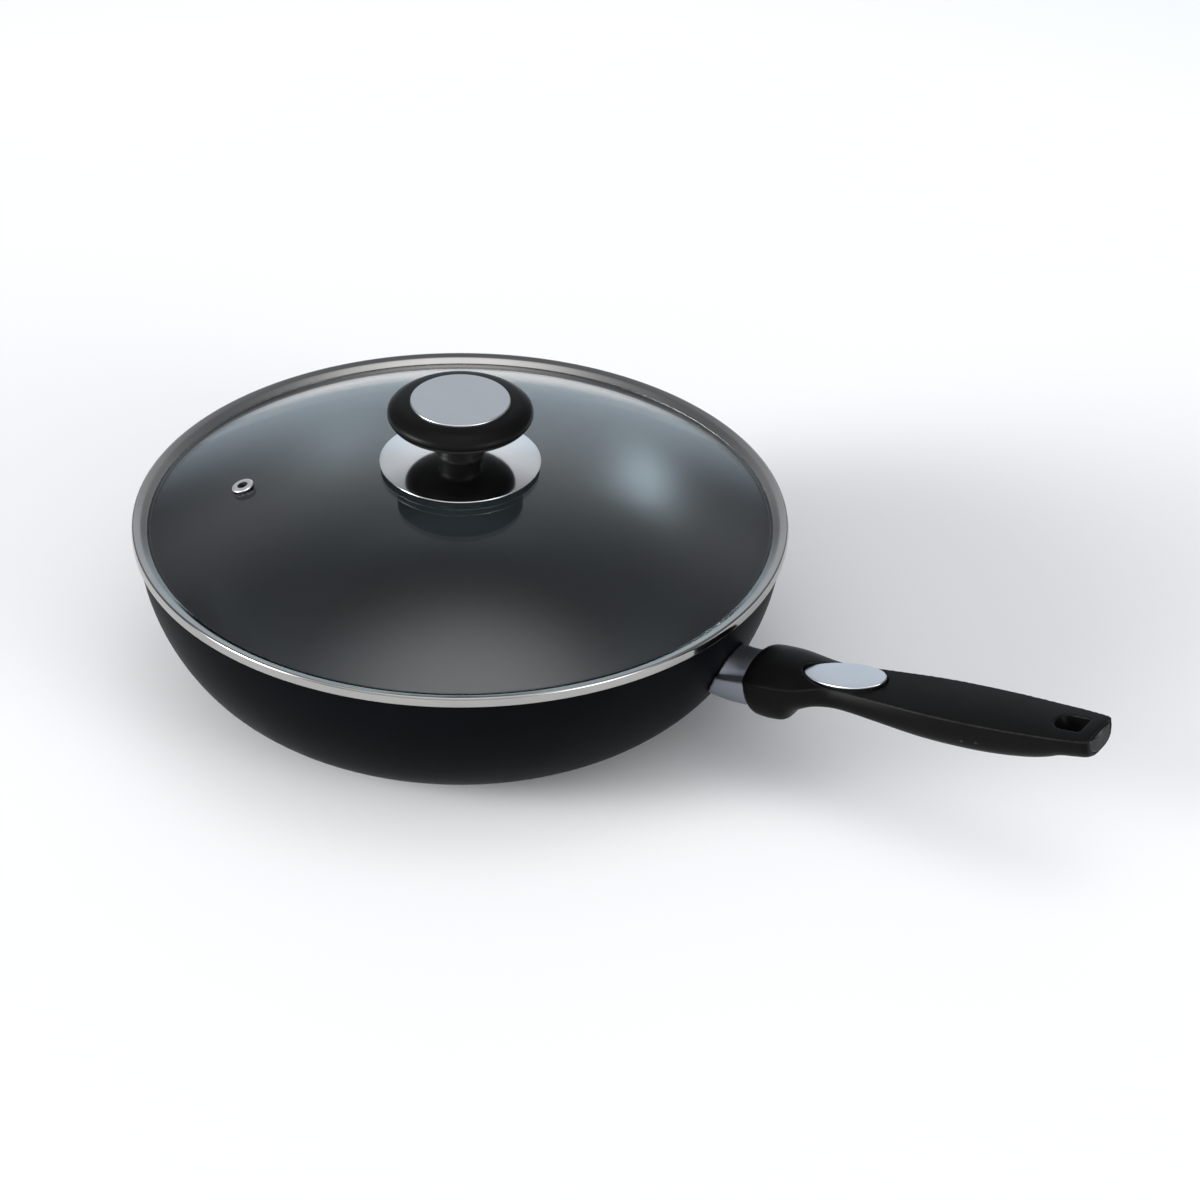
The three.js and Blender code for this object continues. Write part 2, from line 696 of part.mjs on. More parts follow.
addPart('lid_glass', cut(turned(glassProfile, LARGE), ventHole, knobHole), GLASS);

const eyeletTop = GAP + VENT_FLANGE_THICKNESS;
const eyeletBottom = -GLASS_THICKNESS - GAP - VENT_FLANGE_THICKNESS;
const eyeletProfile = [
  [VENT_BORE, eyeletBottom],
  [VENT_FLANGE - 0.4, eyeletBottom],
  [VENT_FLANGE, eyeletBottom + 0.4],
  [VENT_FLANGE, eyeletBottom + VENT_FLANGE_THICKNESS],
  [VENT_TUBE, eyeletBottom + VENT_FLANGE_THICKNESS],
  [VENT_TUBE, GAP],
  [VENT_FLANGE, GAP],
  [VENT_FLANGE, eyeletTop - 0.4],
  [VENT_FLANGE - 0.6, eyeletTop],
  [VENT_BORE + 0.5, eyeletTop],
  [VENT_BORE, eyeletTop - 0.4],
  [VENT_BORE, eyeletBottom],
];
addPart('vent_eyelet', placed(turned(eyeletProfile, TINY), ventFrame), POLISHED);

// Knob, from the glass up

const throughBore = SCREW_RADIUS + GAP;
const lift = (height) => glassTop + height;
const gasketTop = lift(SEAT + GASKET_THICKNESS);
addPart('gasket_upper', ring(throughBore, FOOT_RADIUS - 1, lift(SEAT), gasketTop, SMALL), SILICONE);

const flangeRim = lift(FLANGE_RIM_LIFT);
const flangeTop = (r) => flangeRim + FLANGE_RISE * (1 - (r / FLANGE_RADIUS) ** 2);
const flangeWidth = FLANGE_RADIUS - throughBore;
const flangeSteps = Array.from({ length: 9 }, (_, i) => throughBore + (flangeWidth * i) / 8);
const flangeProfile = [
  ...flangeSteps.map((r) => [r, flangeTop(r)]),
  [FLANGE_RADIUS + 0.2, flangeRim - FLANGE_SHEET / 2],
  [FLANGE_RADIUS - 0.2, flangeRim - FLANGE_SHEET - 0.3],
  ...flangeSteps.slice(0, -1).reverse().map((r) => [r, flangeTop(r) - FLANGE_SHEET]),
  [throughBore, flangeTop(throughBore)],
];
addPart('knob_flange', turned(flangeProfile, MEDIUM), POLISHED);

const footTop = flangeTop(FOOT_RADIUS) - FLANGE_SHEET - SEAT;
const footBottom = gasketTop + SEAT;
const footProfile = [
  [throughBore, footBottom],
  [FOOT_RADIUS - 0.3, footBottom],
  [FOOT_RADIUS, footBottom + 0.3],
  [FOOT_RADIUS, footTop - 0.3],
  [FOOT_RADIUS - 0.3, footTop],
  [throughBore, footTop],
  [throughBore, footBottom],
];
addPart('knob_foot', turned(footProfile, SMALL), PHENOLIC);

const stemBottom = flangeTop(throughBore) + SEAT;
const capWide = lift(CAP_LIFT);
const stemTop = lift(STEM_TOP_LIFT);
const discTop = lift(DISC_TOP_LIFT);
const crownEdge = discTop - DISC_PROUD;
const recessFloor = discTop - DISC_THICKNESS - SEAT;
const capUnder = [
  [STEM_RADIUS, stemTop],
  [STEM_RADIUS + 3, stemTop + 1.3],
  [CAP_RADIUS - 9, stemTop + 2.6],
  [CAP_RADIUS - 3, capWide - 3.6],
  [CAP_RADIUS - 0.5, capWide - 1.6],
  [CAP_RADIUS, capWide],
  [CAP_RADIUS - 1.2, capWide + 2],
  [CAP_RADIUS - 4.6, crownEdge - 1],
  [DISC_RADIUS + SEAT, crownEdge],
];
const insertTop = stemBottom + INSERT_LENGTH + SEAT;
const insertBore = INSERT_RADIUS + SEAT;
const knobProfile = [
  [insertBore, stemBottom],
  [STEM_RADIUS, stemBottom],
  [STEM_RADIUS - 0.8, (stemBottom + stemTop) / 2],
  ...smooth(capUnder, 16),
  [DISC_RADIUS + SEAT, recessFloor],
  [0, recessFloor],
  [0, insertTop],
  [insertBore, insertTop],
  [insertBore, stemBottom],
];
addPart('knob_body', turned(knobProfile, MEDIUM), PHENOLIC);

const discProfile = [
  [0, recessFloor + SEAT],
  [DISC_RADIUS, recessFloor + SEAT],
  [DISC_RADIUS, discTop - 0.5],
  [DISC_RADIUS - 0.5, discTop],
  [0, discTop],
];
addPart('knob_disc', turned(discProfile, MEDIUM), BRUSHED);

const insertBottom = stemBottom + SEAT;
const insertRoof = insertTop - SEAT;
const screwEnd = insertRoof - 2;
const insertProfile = [
  [throughBore, insertBottom],
  [INSERT_RADIUS, insertBottom],
  [INSERT_RADIUS, insertRoof],
  [0, insertRoof],
  [0, screwEnd + GAP],
  [throughBore, screwEnd + GAP],
  [throughBore, insertBottom],
];
addPart('knob_insert', turned(insertProfile, TINY), BRASS);

// Under the glass
const lowGasketTop = glassUnder - GAP;
const washerTop = lowGasketTop - GASKET_THICKNESS - SEAT;
const headTop = washerTop - WASHER_THICKNESS - SEAT;
const headBottom = headTop - SCREW_HEAD_HEIGHT;
const lowGasket = ring(throughBore, FOOT_RADIUS - 2, washerTop + SEAT, lowGasketTop, SMALL);
const washer = ring(throughBore, FOOT_RADIUS - 3, washerTop - WASHER_THICKNESS, washerTop, SMALL);
addPart('gasket_lower', lowGasket, SILICONE);
addPart('screw_washer', washer, STEEL);
const screwProfile = [
  [0, headBottom],
  [SCREW_HEAD_RADIUS - 1.2, headBottom],
  [SCREW_HEAD_RADIUS, headBottom + 1.2],
  [SCREW_HEAD_RADIUS, headTop],
  [SCREW_RADIUS, headTop],
  [SCREW_RADIUS, screwEnd],
  [0, screwEnd],
];
const slotCut = new THREE.BoxGeometry(2 * SCREW_HEAD_RADIUS + OVERCUT, 1.2, 2.4);
slotCut.translate(0, 0, headBottom);
addPart('knob_screw', cut(turned(screwProfile, TINY), solidOf(slotCut)), STEEL);

export default group;
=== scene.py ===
"""The looks of a wok with a lift-off glass lid and a pull-off handle, made round its solids."""
import json
import math

import bmesh
import bpy
from mathutils import Matrix, Vector


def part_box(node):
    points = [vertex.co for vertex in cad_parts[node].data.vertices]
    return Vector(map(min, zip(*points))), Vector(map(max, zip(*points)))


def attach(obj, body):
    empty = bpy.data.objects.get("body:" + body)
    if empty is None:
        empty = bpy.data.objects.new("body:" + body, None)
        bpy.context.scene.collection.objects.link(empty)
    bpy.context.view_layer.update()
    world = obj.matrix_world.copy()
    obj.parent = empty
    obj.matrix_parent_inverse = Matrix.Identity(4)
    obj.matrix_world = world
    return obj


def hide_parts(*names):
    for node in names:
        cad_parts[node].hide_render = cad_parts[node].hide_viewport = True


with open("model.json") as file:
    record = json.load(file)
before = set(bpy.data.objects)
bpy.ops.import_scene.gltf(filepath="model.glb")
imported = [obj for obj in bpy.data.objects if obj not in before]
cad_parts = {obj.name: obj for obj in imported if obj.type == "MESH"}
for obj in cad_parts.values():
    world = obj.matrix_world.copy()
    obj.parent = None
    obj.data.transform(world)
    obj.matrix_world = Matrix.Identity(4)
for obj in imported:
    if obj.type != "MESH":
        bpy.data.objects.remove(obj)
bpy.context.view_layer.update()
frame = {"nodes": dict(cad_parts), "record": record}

# Shapes are written in millimetres and made in metres
MM = 0.001

# Steps round a full turn, for large, small and tiny pieces
ROUND = 192
ROUND_SMALL = 96
ROUND_TINY = 48
ON_AXIS = 1e-6

# Clearances: seated pieces, pieces that stay apart and pieces that slide
SEAT = 0.15
GAP = 0.3
SLIDE = 0.4

# How far a cutter runs past a face, and right through a piece
OVERCUT = 1
THROUGH = 30

# Edge rounding, from crisp to soft
FINE_EDGE = 0.1
CRISP_EDGE = 0.15
CLEAN_EDGE = 0.2
EASED_EDGE = 0.3
BROKEN_EDGE = 0.4
SOFT_EDGE = 0.5

# A fillet takes a little less than half of each side that it joins
FILLET_REACH = 0.49
FILLET_STEPS = 6


def corners_of(node):
    """The low and high corner of a CAD node's box, in millimetres."""
    low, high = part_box(node)
    return low / MM, high / MM


pan_high = corners_of("wok_shell")[1]
band_low, band_high = corners_of("lid_band")
glass_low, glass_high = corners_of("lid_glass")
flange_high = corners_of("knob_flange")[1]
disc_low, disc_high = corners_of("knob_disc")
foot_low, foot_high = corners_of("knob_foot")

# Pan
RIM_RADIUS = pan_high.x
RIM_HEIGHT = pan_high.z
RIM_THICKNESS = 2.6
RIM_ROUND = RIM_THICKNESS / 2
RIM_STEPS = 10
MOUTH_RADIUS = RIM_RADIUS - RIM_THICKNESS
BASE_RADIUS = 70.4
HEEL_RADIUS = 66.4
HEEL_SWEEP = math.radians(55.6)
FLOOR_THICKNESS = 4.5
FLOOR_RINGS = 8
WALL_STEPS = 24

# Lid band
BAND_RADIUS = band_high.x
BAND_TOP = band_high.z
BAND_SHEET = 0.6
BAND_LIP_WIDTH = 6.8
BAND_LIP_DROP = 2.1
BAND_LIP_RADIUS = BAND_RADIUS - BAND_LIP_WIDTH
BAND_FOLD_ROUND = 0.9
SKIRT_BOTTOM = band_low.z
SKIRT_RADIUS = 136.7
SKIRT_ROUND = 0.25

# The band's crown, from its outer face over the crest to the lip: inset and drop
BAND_CREST = 1.0
BAND_CROWN = [
    (0, 1.9), (0.1, 0.95), (0.4, 0.28), (BAND_CREST, 0), (2.0, 0.17), (3.0, 0.39),
    (3.8, 0.61), (4.5, 0.93), (5.3, 1.34), (6.1, 1.76), (BAND_LIP_WIDTH, BAND_LIP_DROP),
]
BAND_CROWN_STEPS = 5

# The crown's underside, from the lip back towards the crest, and the drop of its shoulder
BAND_UNDER = [(5.6, 2.05), (4.5, 1.6), (3.5, 1.2)]
BAND_SHOULDER = 1.5

# Lid glass
GLASS_TOP = glass_high.z
GLASS_EDGE = glass_high.x
GLASS_LOW = glass_low.z
GLASS_DROP = 2.15
GLASS_HIGH = BAND_TOP - GLASS_DROP
GLASS_THICKNESS = 3.2
GLASS_FLAT_WIDTH = 0.3
GLASS_HOLE = 4
GLASS_BEND = 2.5
GLASS_EDGE_ROUND = 0.8
GLASS_RISE = GLASS_TOP - GLASS_HIGH
DOME_EDGE = BAND_LIP_RADIUS - GLASS_FLAT_WIDTH
DOME_RADIUS = (DOME_EDGE ** 2 + GLASS_RISE ** 2) / (2 * GLASS_RISE)
DOME_CENTRE = GLASS_TOP - DOME_RADIUS
DOME_STEPS = 44

# Steam vent
VENT_INSET = 48.8
VENT_AZIMUTH = math.radians(210.5)
VENT_FLANGE = 4.9
VENT_TUBE = 2.9
VENT_BORE = 2
VENT_SHEET = 0.8
VENT_FLARE = 3.1
VENT_FLARE_ROUND = 0.6
VENT_CROWN = 1.2
VENT_CROWN_ROUND = 1.1
# How far the painted shade on the eyelet reaches above the glass and out from its bore
VENT_SHADE_REACH = 0.4

# Guard plate, and its rolled edge as reach past the radius and drop below the top
FLANGE_REACH = 0.2
FLANGE_RADIUS = flange_high.x - FLANGE_REACH
FLANGE_RISE = 5
FLANGE_SHEET = 0.5
FLANGE_STEPS = 24
FLANGE_ROLL = [(0.15, 0.12), (FLANGE_REACH, 0.28), (0.1, 0.45), (-0.2, 0.52)]

# Knob, with the points of the cap's edge as inset from its widest ring and rise above it
CAP_RADIUS = 31.6
CAP_LIFT = 24.8
CAP_EDGE = [(2.7, -4.1), (0.4, -1.9), (0, 0), (1.1, 1.9)]
CAP_UNDER_WIDTH = 9
CAP_STEPS = 8
SHOULDER_INSET = 4.6
SHOULDER_DROP = 1
STEM_RADIUS = 10.8
STEM_TOP_LIFT = 16.6
STEM_WAIST = 0.8
STEM_STANDOFF = 0.02
FLARE_REACH = 3
FLARE_RISE = 1.3
DISC_RADIUS = disc_high.x
DISC_TOP = disc_high.z
DISC_PROUD = 0.8
DISC_DEPTH = 1.6
DISC_ROUND = 0.6
DISC_ROUND_STEPS = 8
DISC_RINGS = 6
FOOT_RADIUS = 12.5
INSERT_BORE = 4.65
INSERT_DEPTH = 12.3

# Knob screw
SCREW_BORE = 2.7
SCREW_HEAD_HEIGHT = 2.8
SCREW_HEAD_ROUND = 1.3
SCREW_SHANK = 2.4
SCREW_SLOT_HALF_WIDTH = 0.6
SCREW_SLOT_DEPTH = 1.2

# Handle frame: u along the handle, v across it, n up from its side ridge
HANDLE_SLOPE = math.radians(7.93)
HANDLE_REACH = 9.6
HANDLE_DROP = 20

# Handle stations: u, half width at the ridge, crown above it, depth below it, side power
HANDLE_STATIONS = [
    (0, 16.0, 5.9, 18.2, 2.6),
    (2, 16.9, 6.5, 19.4, 2.8),
    (6, 17.5, 6.4, 20.0, 3.0),
    (12, 17.6, 5.8, 19.9, 3.2),
    (16.5, 17.2, 5.2, 19.2, 3.2),
    (19, 16.8, 4.8, 16.6, 3.0),
    (21, 16.4, 4.5, 14.7, 3.0),
    (25, 15.6, 3.7, 12.6, 3.0),
    (31, 14.6, 2.9, 10.7, 3.0),
    (40, 13.9, 2.3, 9.9, 3.0),
    (50, 14.8, 2.2, 10.3, 3.0),
    (62, 15.9, 2.2, 11.8, 3.0),
    (84, 17.3, 2.0, 14.7, 3.0),
    (108, 16.9, 1.6, 16.3, 3.0),
    (124, 15.8, 1.3, 16.1, 3.0),
    (136, 14.7, 1.1, 14.9, 3.0),
    (143, 14.1, 1.0, 13.3, 3.0),
    (148, 13.7, 0.9, 11.6, 3.0),
    (156, 12.7, 0.8, 11.0, 3.0),
    (161, 11.9, 0.7, 10.5, 3.0),
    (163, 11.0, 0.4, 9.6, 3.0),
]
TAIL = HANDLE_STATIONS[-1][0]
GRIP_VOXEL = 0.45
GRIP_SOFTENING = 6

# Scooped sides of the neck, where the top's edge comes in beside the oval
NECK_FROM = 22
NECK_FULL = 42
NECK_EASE = 50
NECK_TO = 152
NECK_INSET = 3.0
NECK_RIDGE = 1.7

# The collar's top runs round into its sides; past it the top meets the sides at an edge
ROUND_TOP_TO = 13
EDGED_TOP_FROM = 32
ROUND_TOP_POWER = 1.35
EDGED_TOP_POWER = 2

# Stub: a bar with a saddle on it, both spreading towards the wall, and a tongue
STUB_BACK = -26
SPREAD_END = -4
SPREAD_STEPS = 18
ARCH_STEPS = 32
STUB_VOXEL = 0.4
STUB_SOFTENING = 5
BAR_END = 12
BAR_HALF_WIDTH = 14
BAR_BOTTOM = -17.4
BAR_RISE_AT_WALL = 5
BAR_EDGE = 0.6
BAR_POWER = 0.75
LEDGE = -1.6
SADDLE_END = 3
SADDLE_HALF_WIDTH = 9.2
SADDLE_TOP = 5
SADDLE_SPREAD = 9
SADDLE_RISE_AT_WALL = 8
SADDLE_POWER = 0.7
TONGUE_START = 9
TONGUE_END = 23
TONGUE_HALF_WIDTH = 8.7
TONGUE_TOP = -1.9
TONGUE_BOTTOM = -8.9
POCKET_ROOF = -3.5
POCKET_FLOOR = -7.6
POCKET_HALF_WIDTH = 5.5
POCKET_START = 8

# Latch leaf, its slot in the grip and its screw
TOOTH_START = 14
TOOTH_END = 19
LEAF_HALF_WIDTH = 4
LEAF_END = 62
LEAF_BEVEL = 0.12
SLOT_FLOOR = -6.5
SLOT_ROOF = -3.6
LEAF_SCREW_AT = 57
LEAF_SCREW_HEAD = 2.8
LEAF_SCREW_HEAD_HEIGHT = 1.8
LEAF_SCREW_HEAD_ROUND = 0.9
LEAF_SCREW_SHANK = 1.5
LEAF_SCREW_SEAT = -4.85
LEAF_SCREW_TIP = -1.5
CROSS_HALF_LENGTH = 1.7
CROSS_HALF_WIDTH = 0.35
CROSS_DEPTH = 1

# Rivets
RIVET_DROP = 26.4
RIVET_SPREAD = 8
RIVET_RADIUS = 3
RIVET_LENGTH = 9
RIVET_STANDOFF = 0.6
RIVET_HEAD = 5.5
RIVET_HEAD_HEIGHT = 1.6
RIVET_HEAD_EDGE = 0.4
RIVET_HEAD_CENTRE = 9.2
RIVET_HEAD_SWEEP = 0.46
RIVET_HEAD_STEPS = 8

# Release button, and the steps of its face as inset and drop below the top
BUTTON_AT = 42
BUTTON_TOP = 3.4
BUTTON_TILT = math.radians(2.4)
BUTTON_HALF_LENGTH = 19.4
BUTTON_HALF_WIDTH = 10.2
BUTTON_FATTER_REAR = 0.12
BUTTON_THICKNESS = 1.6
BUTTON_FACE = [(0, 0.6), (0.08, 0.4), (0.25, 0.22), (0.5, 0.12), (3, 0.06), (7, 0)]
WELL_DEPTH = 4.6

# Hang hole
HOLE_TAIL_SIDE = 156.5
HOLE_TOP_FRONT = 142
HOLE_BOTTOM_FRONT = 147
HOLE_HALF_WIDTH = 5.8
HOLE_NOSE = 0.8 * HOLE_HALF_WIDTH
HOLE_NOSE_STEPS = 24
HOLE_CORNER = 1.2
HOLE_RAMP_LOW = -9
HOLE_RAMP_HIGH = 2.2

# End plate, as a share of the tail's section, and the steps of its edge from the front back
PLATE_SCALE = 0.8
PLATE_LOWERED = 0.1
PLATE_THICKNESS = 2
PLATE_PROUD = 0.3
PLATE_EDGE = [(0.8, 1), (0.4, 0.98), (0.1, 0.94), (0, 0.89)]

# Camera: where it stands round the wok, and the point its middle looks at, in metres
CAMERA_AZIMUTH = math.radians(30)
CAMERA_PITCH = math.radians(32.5)
CAMERA_ROLL = math.radians(-0.756)
CAMERA_DISTANCE = 3.0
CAMERA_LENS = 206.99
AIM_HEIGHT = 0.0776
AIM_RIGHT = 0.0612
AIM_UP = -0.03394

# Soft lights: azimuth, elevation, spread across and upright, edge power, strength, tint
SOFT_LIGHTS = [
    (100, 86, 0.29, 0.29, 1.5, 1.02, (1.0, 0.995, 0.99)),
    (-60, 50, 0.92, 0.92, 2, 0.84, (1.0, 1.0, 1.0)),
    (121, 4, 0.36, 0.44, 2, 0.62, (0.80, 0.94, 1.05)),
    (121, 32, 0.60, 0.22, 1, 0.46, (0.97, 0.99, 1.0)),
    (-133, 15, 0.19, 0.19, 1, 36.0, (0.98, 0.99, 1.0)),
    (-13, 16, 0.22, 0.20, 1, 8.5, (0.95, 0.98, 1.0)),
]
AMBIENT = (0.115, 0.125, 0.145, 1)

# Floor
FLOOR_SIZE = 24000
FLOOR_MIDDLE = FLOOR_SIZE / 8
FLOOR_COLOUR = 0.97
FLOOR_VARIES = 0.01
FAR_FLOOR = (0.60, 0.68, 0.74, 1)
FAR_FROM = 620
FAR_TO = 1300


# Numbers and curves

def evenly(start, end, steps):
    """Evenly spaced values from start to end, both included."""
    return [start + (end - start) * i / steps for i in range(steps + 1)]


def full_turn(count):
    return [2 * math.pi * i / count for i in range(count)]


def eased(share):
    """A share held between none and all, with soft ends."""
    share = min(max(share, 0), 1)
    return share * share * (3 - 2 * share)


def signed_power(value, power):
    return math.copysign(abs(value) ** power, value)


def arc(centre_r, centre_z, radius, start, end, steps):
    turns = evenly(start, end, steps)
    return [(centre_r + radius * math.sin(t), centre_z - radius * math.cos(t)) for t in turns]


def tangent_arc(start, heading, end, steps):
    """An arc that leaves start along a heading and ends at a point."""
    dr, dz = end[0] - start[0], end[1] - start[1]
    turn = math.atan2(dz, dr) - heading
    radius = math.hypot(dr, dz) / (2 * math.sin(turn))
    centre_r = start[0] - radius * math.sin(heading)
    centre_z = start[1] + radius * math.cos(heading)
    return arc(centre_r, centre_z, radius, heading, heading + 2 * turn, steps)


def smooth_through(knots, steps):
    """A Catmull-Rom curve through (r, z) knots, with that many steps in each stretch."""
    curve = []
    last = len(knots) - 1
    for k in range(last):
        a, b, c, d = (Vector(knots[min(max(i, 0), last)]) for i in (k - 1, k, k + 1, k + 2))
        for i in range(steps):
            t = i / steps
            bend = 2 * a - 5 * b + 4 * c - d
            turn = 3 * b - 3 * c + d - a
            curve.append(tuple((2 * b + (c - a) * t + bend * t ** 2 + turn * t ** 3) / 2))
    return curve + [tuple(knots[-1])]


def rounded(corners, closed=False, steps=FILLET_STEPS):
    """An outline through corners (r, z) or (r, z, fillet radius)."""
    outline = []
    count = len(corners)
    for i, corner in enumerate(corners):
        here = Vector(corner[:2])
        at_end = not closed and i in (0, count - 1)
        if len(corner) < 3 or at_end:
            outline.append(tuple(here))
            continue
        back = Vector(corners[i - 1][:2]) - here
        ahead = Vector(corners[(i + 1) % count][:2]) - here
        half = back.angle(ahead) / 2
        longest = FILLET_REACH * min(back.length, ahead.length)
        reach = min(corner[2] / math.tan(half), longest)
        start = here + back.normalized() * reach
        end = here + ahead.normalized() * reach
        middle = (back.normalized() + ahead.normalized()).normalized()
        centre = here + middle * (reach / math.cos(half))
        first = math.atan2(*(start - centre).yx)
        sweep = math.remainder(math.atan2(*(end - centre).yx) - first, 2 * math.pi)
        radius = (start - centre).length
        for turn in evenly(first, first + sweep, steps):
            outline.append((centre.x + radius * math.cos(turn), centre.y + radius * math.sin(turn)))
    return outline


# Meshes

def make_object(name, points, faces, place=None):
    if place is not None:
        points = [place @ point for point in points]
    mesh = bpy.data.meshes.new(name)
    mesh.from_pydata([point * MM for point in points], [], faces)
    shape = bmesh.new()
    shape.from_mesh(mesh)
    bmesh.ops.recalc_face_normals(shape, faces=shape.faces)
    shape.to_mesh(mesh)
    shape.free()
    mesh.polygons.foreach_set("use_smooth", [True] * len(mesh.polygons))
    piece = bpy.data.objects.new(name, mesh)
    bpy.context.scene.collection.objects.link(piece)
    return piece


def even_out_normals(piece):
    even = piece.modifiers.new("even_normals", "WEIGHTED_NORMAL")
    even.keep_sharp = True
    return piece


def spun(name, outline, closed=False, count=ROUND, place=None):
    """Turns an outline of (r, z) points about Z. A closed outline makes a ring."""
    points = []
    rings = []
    for r, z in outline:
        ring = []
        for turn in full_turn(1 if r < ON_AXIS else count):
            ring.append(len(points))
            points.append(Vector((r * math.cos(turn), r * math.sin(turn), z)))
        rings.append(ring)
    faces = []
    pairs = list(zip(rings, rings[1:] + rings[:1]))
    for low, high in pairs if closed else pairs[:-1]:
        for i in range(count):
            k = (i + 1) % count
            face = [low[i % len(low)], low[k % len(low)], high[k % len(high)], high[i % len(high)]]
            faces.append(list(dict.fromkeys(face)))
    return even_out_normals(make_object(name, points, faces, place))


def lofted(name, rings, place=None):
    """A closed skin through rings of points, with flat ends."""
    count = len(rings[0])
    points = [p for ring in rings for p in ring]
    faces = []
    for k in range(len(rings) - 1):
        low, high = k * count, (k + 1) * count
        for i in range(count):
            j = (i + 1) % count
            faces.append((low + i, low + j, high + j, high + i))
    for ring, start in ((rings[0], 0), (rings[-1], (len(rings) - 1) * count)):
        middle = len(points)
        points.append(sum(ring, Vector()) / count)
        faces += [(start + i, start + (i + 1) % count, middle) for i in range(count)]
    return make_object(name, points, faces, place)


def block(name, u0, u1, v, n0, n1, place=None):
    """A box from u0 to u1 and n0 to n1, v to each side."""
    corners = ((-v, n0), (v, n0), (v, n1), (-v, n1))
    return lofted(name, [[Vector((u, a, b)) for a, b in corners] for u in (u0, u1)], place)


def baked(piece, name):
    """A new object with the mesh that piece's modifiers make. The old one goes."""
    graph = bpy.context.evaluated_depsgraph_get()
    mesh = bpy.data.meshes.new_from_object(piece.evaluated_get(graph))
    old = piece.data
    bpy.data.objects.remove(piece)
    bpy.data.meshes.remove(old)
    mesh.name = name
    mesh.materials.clear()
    mesh.polygons.foreach_set("material_index", [0] * len(mesh.polygons))
    mesh.polygons.foreach_set("use_smooth", [True] * len(mesh.polygons))
    new = bpy.data.objects.new(name, mesh)
    bpy.context.scene.collection.objects.link(new)
    return new


def combine(piece, others, operation):
    for other in others:
        step = piece.modifiers.new(other.name, "BOOLEAN")
        step.operation = operation
        step.solver = "MANIFOLD"
        step.object = other


def carved(name, blank, added=(), cutters=(), voxel=None, soften=0):
    """blank with pieces added and cut away. A voxel size gives it softly moulded edges."""
    combine(blank, added, "UNION")
    combine(blank, cutters, "DIFFERENCE")
    if voxel:
        skin = blank.modifiers.new("skin", "REMESH")
        skin.mode = "VOXEL"
        skin.voxel_size = voxel * MM
        melt = blank.modifiers.new("melt", "SMOOTH")
        melt.factor = 0.5
        melt.iterations = soften
    piece = baked(blank, name)
    for helper in [*added, *cutters]:
        bpy.data.objects.remove(helper)
    return piece


# Node groups: patterns that several finishes share

def feed(tree, node, values):
    """Links each value that is a socket and sets the others."""
    for key, value in values.items():
        if isinstance(value, bpy.types.NodeSocket):
            tree.links.new(value, node.inputs[key])
        else:
            node.inputs[key].default_value = value


def put(tree, kind, values=None, **settings):
    """Adds a shader node with its settings and its inputs."""
    node = tree.nodes.new("ShaderNode" + kind)
    for key, value in settings.items():
        setattr(node, key, value)
    feed(tree, node, values or {})
    return node


def maths(tree, operation, *values):
    """The result of a Math node."""
    return put(tree, "Math", dict(enumerate(values)), operation=operation).outputs[0]


def vector_maths(tree, operation, *values):
    """The result of a Vector Math node, which is a number for a length or a dot product."""
    outputs = put(tree, "VectorMath", dict(enumerate(values)), operation=operation).outputs
    return outputs["Value" if operation in ("LENGTH", "DOT_PRODUCT") else "Vector"]


def new_group(name, inputs, outputs):
    tree = bpy.data.node_groups.new(name, "ShaderNodeTree")
    for label in inputs:
        kind = "NodeSocketVector" if label == "Place" else "NodeSocketFloat"
        tree.interface.new_socket(label, in_out="INPUT", socket_type=kind)
    for label in outputs:
        tree.interface.new_socket(label, in_out="OUTPUT", socket_type="NodeSocketFloat")
    taken = tree.nodes.new("NodeGroupInput").outputs
    given = tree.nodes.new("NodeGroupOutput").inputs
    return tree, taken, given


def moulded_grain():
    """Fine pebbled skin, and broad soft patches."""
    tree, taken, given = new_group("moulded_grain", ["Place", "Scale"], ["Height", "Patches"])
    place = taken["Place"]
    fine = put(tree, "TexNoise", {"Vector": place, "Scale": taken["Scale"], "Detail": 3})
    wide = maths(tree, "MULTIPLY", taken["Scale"], 0.03)
    patches = put(tree, "TexNoise", {"Vector": place, "Scale": wide, "Detail": 2})
    tree.links.new(fine.outputs["Fac"], given["Height"])
    tree.links.new(patches.outputs["Fac"], given["Patches"])
    return tree


def handling_marks():
    """Cloudy marks that change the gloss a little."""
    tree, taken, given = new_group("handling_marks", ["Place", "Scale"], ["Marks"])
    cloud = put(tree, "TexNoise", {"Vector": taken["Place"], "Scale": taken["Scale"], "Detail": 4,
                                   "Roughness": 0.6, "Distortion": 0.6})
    spread = put(tree, "MapRange", {"Value": cloud.outputs["Fac"],
                                    "From Min": 0.35, "From Max": 0.7})
    tree.links.new(spread.outputs["Result"], given["Marks"])
    return tree


def edge_wear_and_highlight():
    """Where sharp edges turn brighter, broken up along their length: rubbed wear on some finishes,
    a painted highlight on others.
    """
    tree, taken, given = new_group("edge_wear_and_highlight", ["Place", "Sharpness", "Start", "End"], ["Wear"])
    edge = put(tree, "MapRange", {"Value": taken["Sharpness"], "From Min": taken["Start"],
                                  "From Max": taken["End"]})
    broken = put(tree, "TexNoise", {"Vector": taken["Place"], "Scale": 220, "Detail": 3})
    both = maths(tree, "MULTIPLY", edge.outputs["Result"], broken.outputs["Fac"])
    tree.links.new(both, given["Wear"])
    return tree


def turned_lines():
    """Fine rings about the upright axis, as turning leaves them."""
    tree, taken, given = new_group("turned_lines", ["Place", "Pitch"], ["Height"])
    flat = vector_maths(tree, "MULTIPLY", taken["Place"], (1, 1, 0))
    step = maths(tree, "DIVIDE", vector_maths(tree, "LENGTH", flat), taken["Pitch"])
    lines = put(tree, "TexNoise", {"W": step, "Scale": 1, "Detail": 3}, noise_dimensions="1D")
    tree.links.new(lines.outputs["Fac"], given["Height"])
    return tree


